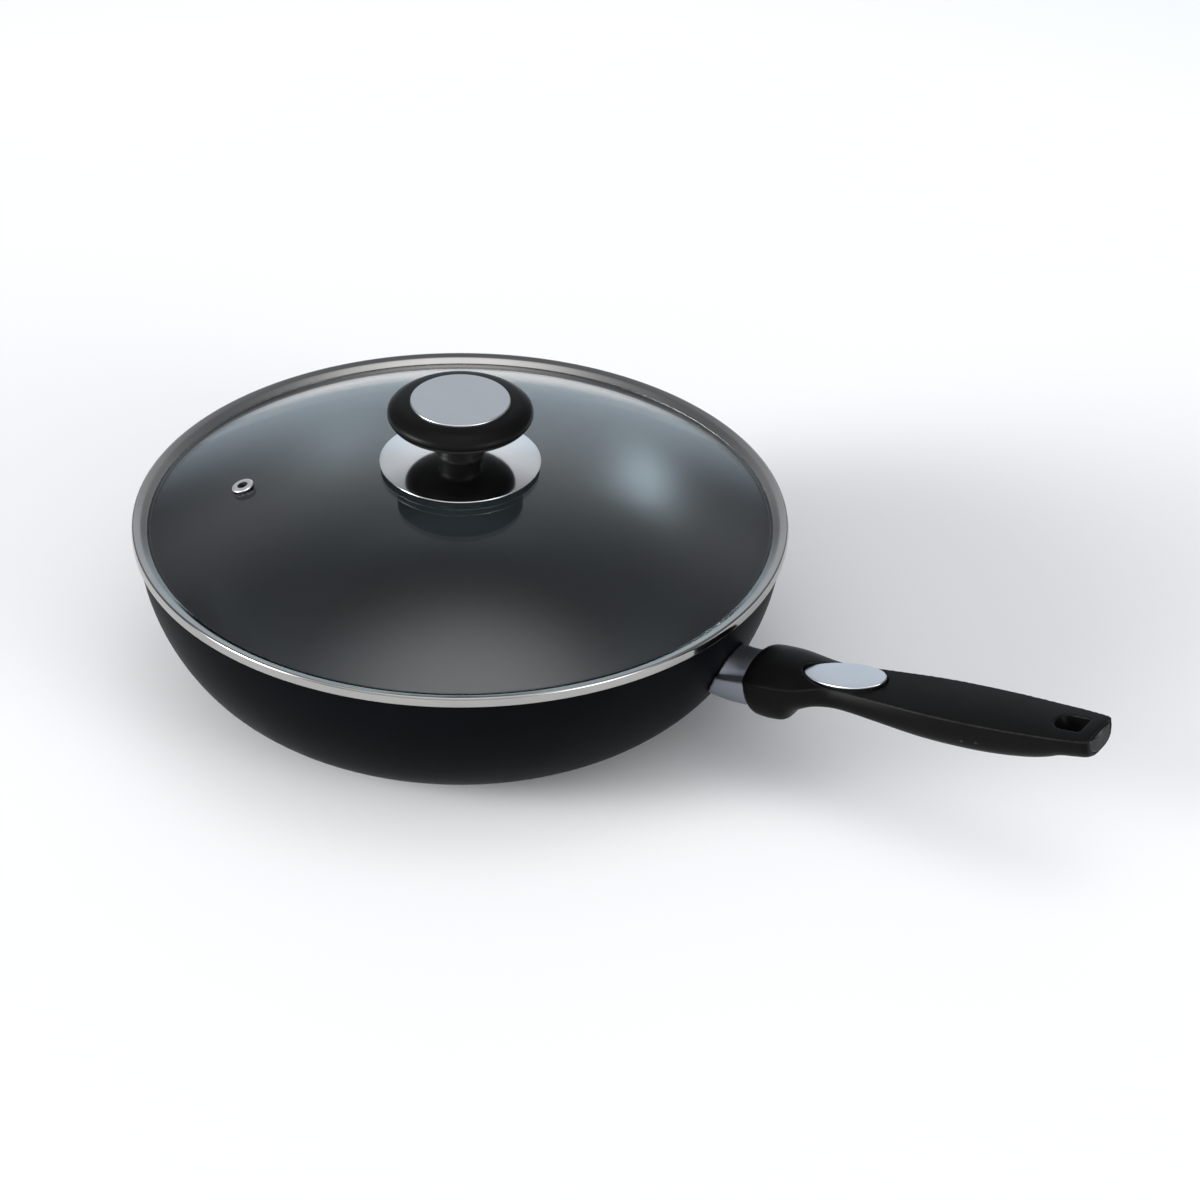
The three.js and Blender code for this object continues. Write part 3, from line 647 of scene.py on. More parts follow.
def brushed_lines():
    """Fine scratches along X."""
    tree, taken, given = new_group("brushed_lines", ["Place", "Scale"], ["Height"])
    drawn = vector_maths(tree, "MULTIPLY", taken["Place"], (0.02, 1, 1))
    lines = put(tree, "TexNoise", {"Vector": drawn, "Scale": taken["Scale"], "Detail": 3})
    tree.links.new(lines.outputs["Fac"], given["Height"])
    return tree


GRAIN = moulded_grain()
MARKS = handling_marks()
WEAR_AND_HIGHLIGHT = edge_wear_and_highlight()
TURNED = turned_lines()
BRUSHED = brushed_lines()


# Finishes

class Finish:
    """A material, its shader and the place on the piece that its patterns follow."""

    def __init__(self, name, **values):
        self.material = bpy.data.materials.new(name)
        self.material.use_nodes = True
        self.tree = self.material.node_tree
        self.shader = self.tree.nodes["Principled BSDF"]
        for key, value in values.items():
            self.shader.inputs[key.replace("_", " ")].default_value = value
        self.place = put(self.tree, "TexCoord").outputs["Object"]

    def pattern(self, group, **values):
        node = self.tree.nodes.new("ShaderNodeGroup")
        node.node_tree = group
        feed(self.tree, node, {"Place": self.place, **values})
        return node.outputs

    def mixed(self, mask, first, second):
        values = {0: mask, 6: first, 7: second}
        return put(self.tree, "Mix", values, data_type="RGBA").outputs[2]

    def colour(self, socket):
        self.tree.links.new(socket, self.shader.inputs["Base Color"])

    def gloss(self, mask, low, high):
        spread = put(self.tree, "MapRange", {"Value": mask, "To Min": low, "To Max": high})
        self.tree.links.new(spread.outputs["Result"], self.shader.inputs["Roughness"])

    def relief(self, height, depth, strength):
        bump = put(self.tree, "Bump", {"Height": height, "Distance": depth * MM,
                                       "Strength": strength})
        self.tree.links.new(bump.outputs["Normal"], self.shader.inputs["Normal"])

    def edges_worn_or_highlit(self, body, edge_colour, start=0.52, end=0.6):
        """A colour with its sharp edges turned to another one: rubbed wear, or a painted edge
        highlight.
        """
        sharpness = put(self.tree, "NewGeometry").outputs["Pointiness"]
        wear_or_highlight = self.pattern(WEAR_AND_HIGHLIGHT, Sharpness=sharpness, Start=start, End=end)
        return self.mixed(wear_or_highlight["Wear"], body, edge_colour)


def grey(level):
    return (level, level, level, 1)


def outer_coat():
    """Dark satin coating on the outside of the pan."""
    made = Finish("outer_coat", IOR=1.075)
    grain = made.pattern(GRAIN, Scale=1400)
    marks = made.pattern(MARKS, Scale=18)
    dark, light = (0.0026, 0.0028, 0.0034, 1), (0.0038, 0.0041, 0.0050, 1)
    made.colour(made.mixed(grain["Patches"], dark, light))
    made.gloss(marks["Marks"], 0.36, 0.42)
    made.relief(grain["Height"], 0.05, 0.35)
    return made.material


def inner_coat():
    """Dark grey non-stick coating inside, a little glossier."""
    made = Finish("inner_coat", IOR=1.36, Specular_Tint=(0.72, 0.88, 1, 1))
    grain = made.pattern(GRAIN, Scale=1100)
    marks = made.pattern(MARKS, Scale=14)
    dark, light = (0.0026, 0.0029, 0.0035, 1), (0.0036, 0.0040, 0.0047, 1)
    made.colour(made.mixed(grain["Patches"], dark, light))
    made.gloss(marks["Marks"], 0.28, 0.31)
    made.relief(grain["Height"], 0.004, 0.02)
    return made.material


def lid_glass_clear():
    """Clear tempered glass. Shadow rays and soft bounces go straight through it."""
    made = Finish("lid_glass_clear", IOR=1.5, Transmission_Weight=1.0, Roughness=0.0)
    marks = made.pattern(MARKS, Scale=30)
    tinted, clearer = (0.960, 0.983, 0.978, 1), (0.972, 0.988, 0.984, 1)
    made.colour(made.mixed(marks["Marks"], tinted, clearer))
    tree = made.tree
    path = put(tree, "LightPath").outputs
    soft = maths(tree, "SUBTRACT", path["Is Glossy Ray"], path["Is Singular Ray"])
    dull = maths(tree, "MAXIMUM", path["Is Shadow Ray"], path["Is Diffuse Ray"])
    straight = maths(tree, "MAXIMUM", soft, dull)
    clear = put(tree, "BsdfTransparent", {"Color": (0.93, 0.95, 0.95, 1)})
    either = put(tree, "MixShader", {0: straight, 1: made.shader.outputs["BSDF"],
                                     2: clear.outputs["BSDF"]})
    tree.links.new(either.outputs["Shader"], tree.nodes["Material Output"].inputs["Surface"])
    return made.material


def polished_steel(name, bright, dull, smear):
    """Polished stainless sheet with faint turning lines and smears."""
    made = Finish(name, Metallic=1.0)
    lines = made.pattern(TURNED, Pitch=0.0004)
    marks = made.pattern(MARKS, Scale=35)
    made.colour(made.mixed(marks["Marks"], bright, dull))
    made.gloss(marks["Marks"], smear, smear + 0.05)
    made.relief(lines["Height"], 0.004, 0.25)
    return made.material


def satin_steel(name, dull, bright):
    """Brushed steel of the knob's disc and the thumb oval."""
    made = Finish(name, Metallic=1.0)
    lines = made.pattern(BRUSHED, Scale=2600)
    marks = made.pattern(MARKS, Scale=60)
    made.colour(made.mixed(lines["Height"], dull, bright))
    made.gloss(marks["Marks"], 0.285, 0.32)
    made.relief(lines["Height"], 0.006, 0.05)
    return made.material


def cast_aluminium():
    """Satin cast aluminium of the stub and the rivets."""
    made = Finish("cast_aluminium", Metallic=1.0)
    grain = made.pattern(GRAIN, Scale=1600)
    dark, light = (0.25, 0.265, 0.305, 1), (0.30, 0.315, 0.36, 1)
    body = made.mixed(grain["Patches"], dark, light)
    made.colour(made.edges_worn_or_highlit(body, (0.55, 0.56, 0.58, 1)))
    made.gloss(grain["Patches"], 0.40, 0.48)
    made.relief(grain["Height"], 0.03, 0.4)
    return made.material


def phenolic(name, index):
    """Black heat-proof moulding with a fine matt skin. A lower index shines less. Its sharp edges,
    such as the grip's side crease, carry a painted highlight.
    """
    made = Finish(name, IOR=index)
    grain = made.pattern(GRAIN, Scale=2300)
    marks = made.pattern(MARKS, Scale=45)
    dark, light = (0.0030, 0.0028, 0.0027, 1), (0.0044, 0.0042, 0.0040, 1)
    body = made.mixed(grain["Patches"], dark, light)
    # The lighter edge colour is a painted highlight along sharp edges such as the grip's side
    # crease
    made.colour(made.edges_worn_or_highlit(body, (0.035, 0.034, 0.033, 1), 0.51, 0.55))
    made.gloss(marks["Marks"], 0.34, 0.41)
    made.relief(grain["Height"], 0.05, 0.4)
    return made.material


def grey_plate():
    """Dark grey satin plate in the handle's tail, with a painted pale highlight round its edge."""
    made = Finish("grey_plate", Specular_IOR_Level=0.15)
    grain = made.pattern(GRAIN, Scale=1800)
    dark, light = (0.006, 0.0062, 0.0072, 1), (0.009, 0.0092, 0.0105, 1)
    body = made.mixed(grain["Patches"], dark, light)
    # The pale edge colour is a painted highlight round the plate's bevelled edge
    made.colour(made.edges_worn_or_highlit(body, (0.3, 0.3, 0.31, 1)))
    made.gloss(grain["Patches"], 0.36, 0.44)
    made.relief(grain["Height"], 0.03, 0.3)
    return made.material


def silicone():
    """Dull dark seals; on the steam eyelet the same dark is painted shade."""
    made = Finish("silicone", Specular_IOR_Level=0.25)
    grain = made.pattern(GRAIN, Scale=1500)
    made.colour(made.mixed(grain["Patches"], grey(0.02), grey(0.03)))
    made.gloss(grain["Patches"], 0.65, 0.8)
    made.relief(grain["Height"], 0.04, 0.3)
    return made.material


def plain_steel():
    """Plain drawn steel of the screws, washer and latch leaf."""
    made = Finish("plain_steel", Metallic=1.0)
    lines = made.pattern(BRUSHED, Scale=1800)
    body = made.mixed(lines["Height"], grey(0.34), grey(0.44))
    made.colour(made.edges_worn_or_highlit(body, grey(0.6)))
    made.gloss(lines["Height"], 0.25, 0.38)
    made.relief(lines["Height"], 0.01, 0.3)
    return made.material


def machined_brass():
    """Brass of the knob's threaded insert."""
    made = Finish("machined_brass", Metallic=1.0)
    lines = made.pattern(TURNED, Pitch=0.0003)
    dark, light = (0.46, 0.32, 0.12, 1), (0.56, 0.41, 0.17, 1)
    made.colour(made.mixed(lines["Height"], dark, light))
    made.gloss(lines["Height"], 0.25, 0.4)
    made.relief(lines["Height"], 0.01, 0.4)
    return made.material


OUTER_COAT = outer_coat()
INNER_COAT = inner_coat()
GLASS = lid_glass_clear()
# One polished steel in three copies: darkened on the lid band as painted shade, brightened on the
# eyelet and guard plate as painted light
SHADED_BAND_STEEL = polished_steel("shaded_band_steel", (0.43, 0.42, 0.405, 1), (0.39, 0.383, 0.372, 1), 0.07)
LIT_EYELET_STEEL = polished_steel("lit_eyelet_steel", (0.90, 0.89, 0.88, 1), (0.82, 0.815, 0.81, 1), 0.34)
LIT_FLANGE_STEEL = polished_steel("lit_flange_steel", grey(0.95), grey(0.90), 0.08)
DISC_SATIN = satin_steel("disc_satin", (0.60, 0.612, 0.63, 1), (0.63, 0.642, 0.66, 1))
OVAL_SATIN = satin_steel("oval_satin", (0.69, 0.71, 0.745, 1), (0.715, 0.735, 0.77, 1))
ALUMINIUM = cast_aluminium()
KNOB_BLACK = phenolic("knob_black", 1.2)
GRIP_BLACK = phenolic("grip_black", 1.14)
GREY_PLATE = grey_plate()
DARK_SEAL_AND_SHADE = silicone()
STEEL = plain_steel()
BRASS = machined_brass()

bodies = frame["record"]["behaviour"]["bodies"]
body_of_node = {node: body for body, nodes in bodies.items() for node in nodes}


def stand_for(piece, node, *materials):
    """piece takes the place of a CAD node: it moves with its body and wears its finish."""
    for material in materials:
        piece.data.materials.append(material)
    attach(piece, body_of_node[node])
    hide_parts(node)


def refinish(node, material):
    """A CAD node that stays gets its material."""
    mesh = frame["nodes"][node].data
    mesh.materials.clear()
    mesh.materials.append(material)


# Pan

def wall_curve(heel, rim):
    low = arc(BASE_RADIUS, HEEL_RADIUS, heel, 0, HEEL_SWEEP, WALL_STEPS)
    return low + tangent_arc(low[-1], HEEL_SWEEP, rim, WALL_STEPS)[1:]


outer_wall = wall_curve(HEEL_RADIUS, (RIM_RADIUS, RIM_HEIGHT - RIM_ROUND))
inner_wall = wall_curve(HEEL_RADIUS - FLOOR_THICKNESS, (MOUTH_RADIUS, RIM_HEIGHT - RIM_ROUND))


def wall_at(curve, height):
    """The wall's radius and slope at a height."""
    for (r0, z0), (r1, z1) in zip(curve, curve[1:]):
        if z1 > height:
            share = (height - z0) / (z1 - z0)
            return r0 + share * (r1 - r0), math.atan2(z1 - z0, r1 - r0)
    return curve[-1][0], math.pi / 2


def make_pan():
    rim = arc(RIM_RADIUS - RIM_ROUND, RIM_HEIGHT - RIM_ROUND, RIM_ROUND,
              math.pi / 2, 3 * math.pi / 2, RIM_STEPS)
    floor = [BASE_RADIUS * i / FLOOR_RINGS for i in range(FLOOR_RINGS)]
    outside = [(r, 0) for r in floor] + outer_wall
    inside = inner_wall[::-1] + [(r, FLOOR_THICKNESS) for r in reversed(floor)]
    pan = spun("pan", outside + rim[1:-1] + inside)
    stand_for(pan, "wok_shell", OUTER_COAT, INNER_COAT)
    inner_start = (len(outside) + len(rim) // 2 - 1) * ROUND
    for face in pan.data.polygons:
        face.material_index = int(face.index >= inner_start)


def rivet_place(side):
    height = RIM_HEIGHT - RIVET_DROP
    radius, slope = wall_at(inner_wall, height)
    axis = Vector((math.sin(slope), 0, -math.cos(slope)))
    across = Vector((0, 1, 0))
    seat = Matrix((across.cross(axis), across, axis)).transposed().to_4x4()
    seat.translation = (radius, 0, height)
    return Matrix.Rotation(side * math.asin(RIVET_SPREAD / radius), 4, "Z") @ seat


def make_rivet(name, side):
    seat = -RIVET_STANDOFF
    head = arc(0, seat + RIVET_HEAD_CENTRE, RIVET_HEAD_CENTRE + RIVET_HEAD_HEIGHT,
               0, RIVET_HEAD_SWEEP, RIVET_HEAD_STEPS)
    outline = rounded([
        *head,
        (RIVET_HEAD, seat - RIVET_HEAD_EDGE, EASED_EDGE),
        (RIVET_HEAD, seat, CRISP_EDGE),
        (RIVET_RADIUS, seat),
        (RIVET_RADIUS, RIVET_LENGTH),
        (0, RIVET_LENGTH),
    ])
    rivet = spun("rivet_" + name, outline, count=ROUND_TINY, place=rivet_place(side))
    stand_for(rivet, "stub_rivet_" + name, ALUMINIUM)


# Lid

def make_band():
    fold_bottom = GLASS_LOW - SEAT - BAND_SHEET
    fold_top = fold_bottom + BAND_SHEET
    inside = BAND_RADIUS - BAND_SHEET
    skirt_inside = SKIRT_RADIUS - BAND_SHEET
    crown = [(BAND_RADIUS - inset, BAND_TOP - drop) for inset, drop in BAND_CROWN]
    crown = smooth_through(crown, BAND_CROWN_STEPS)
    skirt = rounded([
        (skirt_inside, SKIRT_BOTTOM),
        (SKIRT_RADIUS, SKIRT_BOTTOM, SKIRT_ROUND),
        (SKIRT_RADIUS, fold_bottom, EASED_EDGE),
        (BAND_RADIUS, fold_bottom, BAND_FOLD_ROUND),
        crown[0],
    ])
    under = rounded([
        crown[-1],
        *((BAND_RADIUS - inset, BAND_TOP - drop) for inset, drop in BAND_UNDER),
        (BAND_RADIUS - BAND_CREST, BAND_TOP - BAND_SHEET, EASED_EDGE),
        (inside, BAND_TOP - BAND_SHOULDER, EASED_EDGE),
        (inside, fold_top, BROKEN_EDGE),
        (skirt_inside, fold_top, SOFT_EDGE),
        skirt[0],
    ])
    band = spun("rim_band", skirt[:-1] + crown + under[1:-1], closed=True)
    stand_for(band, "lid_band", SHADED_BAND_STEEL)


def dome_arc(radius):
    turns = evenly(math.asin(GLASS_HOLE / radius), math.asin(DOME_EDGE / DOME_RADIUS), DOME_STEPS)
    return [(radius * math.sin(t), DOME_CENTRE + radius * math.cos(t)) for t in turns]


def vent_place():
    tilt = math.asin((BAND_RADIUS - VENT_INSET) / DOME_RADIUS)
    up = Matrix.Translation((0, 0, DOME_RADIUS))
    return (Matrix.Rotation(VENT_AZIMUTH, 4, "Z") @ Matrix.Translation((0, 0, DOME_CENTRE))
            @ Matrix.Rotation(tilt, 4, "Y") @ up)


def make_glass():
    top = dome_arc(DOME_RADIUS)
    under = dome_arc(DOME_RADIUS - GLASS_THICKNESS)
    outline = rounded([
        (GLASS_HOLE, top[0][1], BROKEN_EDGE),
        *top[1:-1],
        (*top[-1], GLASS_BEND),
        (GLASS_EDGE, GLASS_HIGH, GLASS_EDGE_ROUND),
        (GLASS_EDGE, GLASS_LOW, GLASS_EDGE_ROUND),
        (*under[-1], GLASS_BEND),
        *under[-2:0:-1],
        (GLASS_HOLE, under[0][1], BROKEN_EDGE),
    ], closed=True)
    blank = spun("glass_blank", outline, closed=True)
    low, high, radius = -GLASS_THICKNESS - OVERCUT, OVERCUT, VENT_TUBE + GAP
    hole = [(0, low), (radius, low), (radius, high), (0, high)]
    cutter = spun("vent_hole", hole, count=ROUND_TINY, place=vent_place())
    stand_for(carved("glass_dome", blank, cutters=[cutter]), "lid_glass", GLASS)


def make_eyelet():
    """The eyelet is steel on top; its foot, tube and bore are painted dark as shade."""
    top = GAP + VENT_CROWN
    bottom = -GLASS_THICKNESS - GAP - VENT_SHEET
    outline = rounded([
        (VENT_BORE, bottom, BROKEN_EDGE),
        (VENT_FLARE, bottom, VENT_FLARE_ROUND),
        (VENT_FLARE, bottom + VENT_SHEET, CRISP_EDGE),
        (VENT_TUBE, bottom + VENT_SHEET),
        (VENT_TUBE, GAP),
        (VENT_FLANGE, GAP, CRISP_EDGE),
        (VENT_FLANGE, top, VENT_CROWN_ROUND),
        (VENT_BORE, top, SOFT_EDGE),
    ], closed=True)
    eyelet = spun("steam_eyelet", outline, closed=True, count=ROUND_SMALL, place=vent_place())
    stand_for(eyelet, "vent_eyelet", LIT_EYELET_STEEL, DARK_SEAL_AND_SHADE)
    # Faces low on the eyelet and in its bore take the dark finish as painted shade
    for face in eyelet.data.polygons:
        here = face.index // ROUND_SMALL
        (r0, z0), (r1, z1) = outline[here], outline[(here + 1) % len(outline)]
        low = min(z0, z1) < GAP + VENT_SHADE_REACH
        in_bore = max(r0, r1) < VENT_BORE + VENT_SHADE_REACH
        face.material_index = int(low or in_bore)


# Knob

def flange_top(radius):
    """The guard plate's height at a radius: a shallow bowl turned over."""
    return flange_high.z - FLANGE_RISE * (radius ** 2 - SCREW_BORE ** 2) / FLANGE_RADIUS ** 2


def make_flange():
    radii = evenly(SCREW_BORE, FLANGE_RADIUS, FLANGE_STEPS)
    top = [(r, flange_top(r)) for r in radii]
    under = [(r, flange_top(r) - FLANGE_SHEET) for r in radii[:-1]]
    edge = flange_top(FLANGE_RADIUS)
    roll = [(FLANGE_RADIUS + reach, edge - drop) for reach, drop in FLANGE_ROLL]
    plate = spun("guard_plate", top + roll + under[::-1], closed=True)
    stand_for(plate, "knob_flange", LIT_FLANGE_STEEL)


def make_foot():
    outline = rounded([
        (SCREW_BORE, foot_low.z),
        (FOOT_RADIUS, foot_low.z, SOFT_EDGE),
        (FOOT_RADIUS, foot_high.z, SOFT_EDGE),
        (SCREW_BORE, foot_high.z),
    ], closed=True)
    foot = spun("knob_foot_ring", outline, closed=True, count=ROUND_SMALL)
    stand_for(foot, "knob_foot", KNOB_BLACK)


def make_knob():
    bottom = corners_of("knob_body")[0].z
    stem_top = GLASS_TOP + STEM_TOP_LIFT
    wide = GLASS_TOP + CAP_LIFT
    crown = DISC_TOP - DISC_PROUD
    recess = DISC_TOP - DISC_DEPTH - SEAT
    recess_radius = DISC_RADIUS + SEAT
    insert_top = bottom + INSERT_DEPTH
    hollow = [(0, insert_top), (INSERT_BORE, insert_top), (INSERT_BORE, bottom)]
    cap = [
        (STEM_RADIUS, flange_top(STEM_RADIUS) + STEM_STANDOFF),
        (STEM_RADIUS - STEM_WAIST, (bottom + stem_top) / 2),
        (STEM_RADIUS, stem_top),
        (STEM_RADIUS + FLARE_REACH, stem_top + FLARE_RISE),
        (CAP_RADIUS - CAP_UNDER_WIDTH, stem_top + 2 * FLARE_RISE),
        *((CAP_RADIUS - inset, wide + rise) for inset, rise in CAP_EDGE),
        (CAP_RADIUS - SHOULDER_INSET, crown - SHOULDER_DROP),
        (recess_radius + BROKEN_EDGE, crown),
    ]
    seat = rounded([
        cap[-1],
        (recess_radius, crown - FINE_EDGE, FINE_EDGE),
        (recess_radius, recess, CLEAN_EDGE),
        (0, recess),
    ])
    knob = spun("knob_cap", hollow + smooth_through(cap, CAP_STEPS) + seat[1:])
    stand_for(knob, "knob_body", KNOB_BLACK)


def make_disc():
    outline = rounded([
        (0, disc_low.z),
        (DISC_RADIUS, disc_low.z, CLEAN_EDGE),
        (DISC_RADIUS, DISC_TOP, DISC_ROUND),
        (0, DISC_TOP),
    ], steps=DISC_ROUND_STEPS)
    face = [(DISC_RADIUS * k / DISC_RINGS, DISC_TOP) for k in range(DISC_RINGS - 1, 0, -1)]
    disc = spun("knob_top_disc", outline[:-1] + face + outline[-1:])
    stand_for(disc, "knob_disc", DISC_SATIN)


def make_washer(name, node, material):
    low, high = corners_of(node)
    outline = rounded([
        (SCREW_BORE, low.z, CLEAN_EDGE),
        (high.x, low.z, SOFT_EDGE),
        (high.x, high.z, SOFT_EDGE),
        (SCREW_BORE, high.z, CLEAN_EDGE),
    ], closed=True)
    washer = spun(name, outline, closed=True, count=ROUND_SMALL)
    stand_for(washer, node, material)


def make_knob_screw():
    low, high = corners_of("knob_screw")
    head_top = low.z + SCREW_HEAD_HEIGHT
    outline = rounded([
        (0, low.z),
        (high.x, low.z, SCREW_HEAD_ROUND),
        (high.x, head_top, CLEAN_EDGE),
        (SCREW_SHANK, head_top, FINE_EDGE),
        (SCREW_SHANK, high.z, BROKEN_EDGE),
        (0, high.z),
    ])
    blank = spun("screw_blank", outline, count=ROUND_SMALL)
    slot = block("slot", -high.x - OVERCUT, high.x + OVERCUT, SCREW_SLOT_HALF_WIDTH,
                 low.z - OVERCUT, low.z + SCREW_SLOT_DEPTH)
    screw = even_out_normals(carved("lid_screw", blank, cutters=[slot]))
    stand_for(screw, "knob_screw", STEEL)


# Handle

def handle_place():
    along = Vector((math.cos(HANDLE_SLOPE), 0, math.sin(HANDLE_SLOPE)))
    across = Vector((0, 1, 0))
    place = Matrix((along, across, along.cross(across))).transposed().to_4x4()
    place.translation = (RIM_RADIUS + HANDLE_REACH, 0, RIM_HEIGHT - HANDLE_DROP)
    return place


HANDLE = handle_place()
BUTTON = (HANDLE @ Matrix.Translation((BUTTON_AT, 0, BUTTON_TOP))
          @ Matrix.Rotation(-BUTTON_TILT, 4, "Y"))
LEAF_SCREW = HANDLE @ Matrix.Translation((LEAF_SCREW_AT, 0, 0))


def station_at(u):
    """The handle's section sizes at u, by a smooth curve through the stations."""
    rows = HANDLE_STATIONS
    last = len(rows) - 1
    k = next(i for i in range(1, len(rows)) if rows[i][0] >= u)
    before, here, there, after = (rows[min(max(i, 0), last)] for i in (k - 2, k - 1, k, k + 1))
    span = there[0] - here[0]
    t = (u - here[0]) / span
    sizes = []
    for a, b, c, d in zip(before[1:], here[1:], there[1:], after[1:]):
        chord = (c - b) / span
        leave = chord if before is here else (chord + (b - a) / (here[0] - before[0])) / 2
        reach = chord if after is there else (chord + (d - c) / (after[0] - there[0])) / 2
        bend = (t ** 3 - 2 * t ** 2 + t) * leave * span + (t ** 3 - t ** 2) * reach * span
        sizes.append((2 * t ** 3 - 3 * t ** 2 + 1) * b + (3 * t ** 2 - 2 * t ** 3) * c + bend)
    return sizes


def neck_share(u):
    """How much of the neck's scooped sides a section has: none at the collar and the tail."""
    rise = (u - NECK_FROM) / (NECK_FULL - NECK_FROM)
    fall = (NECK_TO - u) / (NECK_TO - NECK_EASE)
    return eased(min(rise, fall))


def top_power(u):
    """Low where the top is a round arch, higher where it is a flat arch with edges."""
    share = eased((u - ROUND_TOP_TO) / (EDGED_TOP_FROM - ROUND_TOP_TO))
    return ROUND_TOP_POWER + (EDGED_TOP_POWER - ROUND_TOP_POWER) * share


def grip_section(u, scale=1.0, shift=0.0):
    half_width, crown, depth, power = station_at(u)
    arch = top_power(u)
    neck = neck_share(u)
    inset, ridge = NECK_INSET * neck, NECK_RIDGE * neck
    ring = []
    for i, turn in enumerate(full_turn(ROUND_SMALL)):
        side, rise = math.cos(turn), abs(math.sin(turn))
        if i <= ROUND_SMALL / 2:
            v = (half_width - inset) * side
            n = ridge + (crown - ridge) * rise ** arch
        else:
            down = rise ** (2 / power)
            v = (half_width - inset * (1 - down) ** 2) * signed_power(side, 2 / power)
            n = ridge - (depth + ridge) * down
        ring.append(Vector((u, v * scale, n * scale + shift)))
    return ring


def oval_ring(inset, height):
    """The thumb oval's outline at a height, drawn in by an inset."""
    long, wide = BUTTON_HALF_LENGTH - inset, BUTTON_HALF_WIDTH - inset
    ring = []
    for turn in full_turn(ROUND_SMALL):
        fuller = 1 + BUTTON_FATTER_REAR * math.cos(turn)
        ring.append(Vector((long * math.cos(turn), wide * math.sin(turn) * fuller, height)))
    return ring


def hole_outline(front, n):
    """The hang hole at one height: a round nose towards the wok and a square tail side."""
    w = HOLE_HALF_WIDTH
    turns = evenly(math.pi / 2, 3 * math.pi / 2, HOLE_NOSE_STEPS)
    nose = [(front + HOLE_NOSE + HOLE_NOSE * math.cos(t), w * math.sin(t)) for t in turns]
    back = [
        (HOLE_TAIL_SIDE - HOLE_CORNER, -w),
        (HOLE_TAIL_SIDE, HOLE_CORNER - w),
        (HOLE_TAIL_SIDE, w - HOLE_CORNER),
        (HOLE_TAIL_SIDE - HOLE_CORNER, w),
    ]
    return [Vector((u, v, n)) for u, v in nose + back]


def hang_hole():
    rings = [
        hole_outline(HOLE_BOTTOM_FRONT, -THROUGH),
        hole_outline(HOLE_BOTTOM_FRONT, HOLE_RAMP_LOW),
        hole_outline(HOLE_TOP_FRONT, HOLE_RAMP_HIGH),
        hole_outline(HOLE_TOP_FRONT, THROUGH),
    ]
    return lofted("hang_hole", rings, HANDLE)


def plate_rings(grow, levels):
    """The tail's section, made smaller, at levels of (u, share)."""
    half_width, _, depth, _ = station_at(TAIL)
    shift = -PLATE_LOWERED * depth
    flat = grip_section(TAIL, PLATE_SCALE + grow / half_width, shift)
    return [[Vector((u, p.y * s, (p.z - shift) * s + shift)) for p in flat] for u, s in levels]


def bar_section(u, spread, grow):
    w = BAR_HALF_WIDTH + grow
    top = LEDGE + grow
    edge = top - BAR_EDGE
    drop = edge - (BAR_BOTTOM + BAR_RISE_AT_WALL * spread - grow)
    ring = [Vector((u, w - BAR_EDGE, top)), Vector((u, BAR_EDGE - w, top))]
    for t in evenly(0, math.pi, ARCH_STEPS):
        v = -w * signed_power(math.cos(t), BAR_POWER)
        ring.append(Vector((u, v, edge - drop * max(math.sin(t), 0) ** BAR_POWER)))
    return ring


def saddle_section(u, spread, grow):
    w = SADDLE_HALF_WIDTH + SADDLE_SPREAD * spread + grow
    top = SADDLE_TOP + SADDLE_RISE_AT_WALL * spread + grow
    foot = LEDGE - OVERCUT
    ring = []
    for t in evenly(0, math.pi, ARCH_STEPS):
        v = w * signed_power(math.cos(t), SADDLE_POWER)
        ring.append(Vector((u, v, foot + (top - foot) * max(math.sin(t), 0) ** SADDLE_POWER)))
    return ring


def stub_loft(name, end, section, grow):
    rings = []
    for t in evenly(0, 1, SPREAD_STEPS):
        rings.append(section(STUB_BACK + (SPREAD_END - STUB_BACK) * t, (1 - t) ** 2, grow))
    rings.append(section(end + grow, 0, grow))
    return lofted(name, rings, HANDLE)


def stub_solids(name, grow):
    """The bar, saddle and tongue, grown by a clearance where they cut the handle's socket."""
    tongue = block(name + "_tongue", TONGUE_START, TONGUE_END + grow, TONGUE_HALF_WIDTH + grow,
                   TONGUE_BOTTOM - grow, TONGUE_TOP + grow, HANDLE)
    bar = stub_loft(name + "_bar", BAR_END, bar_section, grow)
    saddle = stub_loft(name + "_saddle", SADDLE_END, saddle_section, grow)
    return bar, saddle, tongue


def make_stub():
    bar, saddle, tongue = stub_solids("stub", 0)
    pocket = block("pocket", POCKET_START, TONGUE_END + OVERCUT, POCKET_HALF_WIDTH,
                   POCKET_FLOOR, POCKET_ROOF, HANDLE)
    window = block("window", TOOTH_START - SLIDE, TOOTH_END + SLIDE, LEAF_HALF_WIDTH + SLIDE,
                   POCKET_ROOF - OVERCUT, TONGUE_TOP + OVERCUT, HANDLE)
    grown = [(r + GAP, z) for r, z in outer_wall]
    within = [(0, -OVERCUT), (BASE_RADIUS, -OVERCUT), *grown, (0, RIM_HEIGHT)]
    cutters = [pocket, window, spun("inside_wall", within)]
    stub = carved("stub", bar, [saddle, tongue], cutters, STUB_VOXEL, STUB_SOFTENING)
    stand_for(stub, "handle_stub", ALUMINIUM)


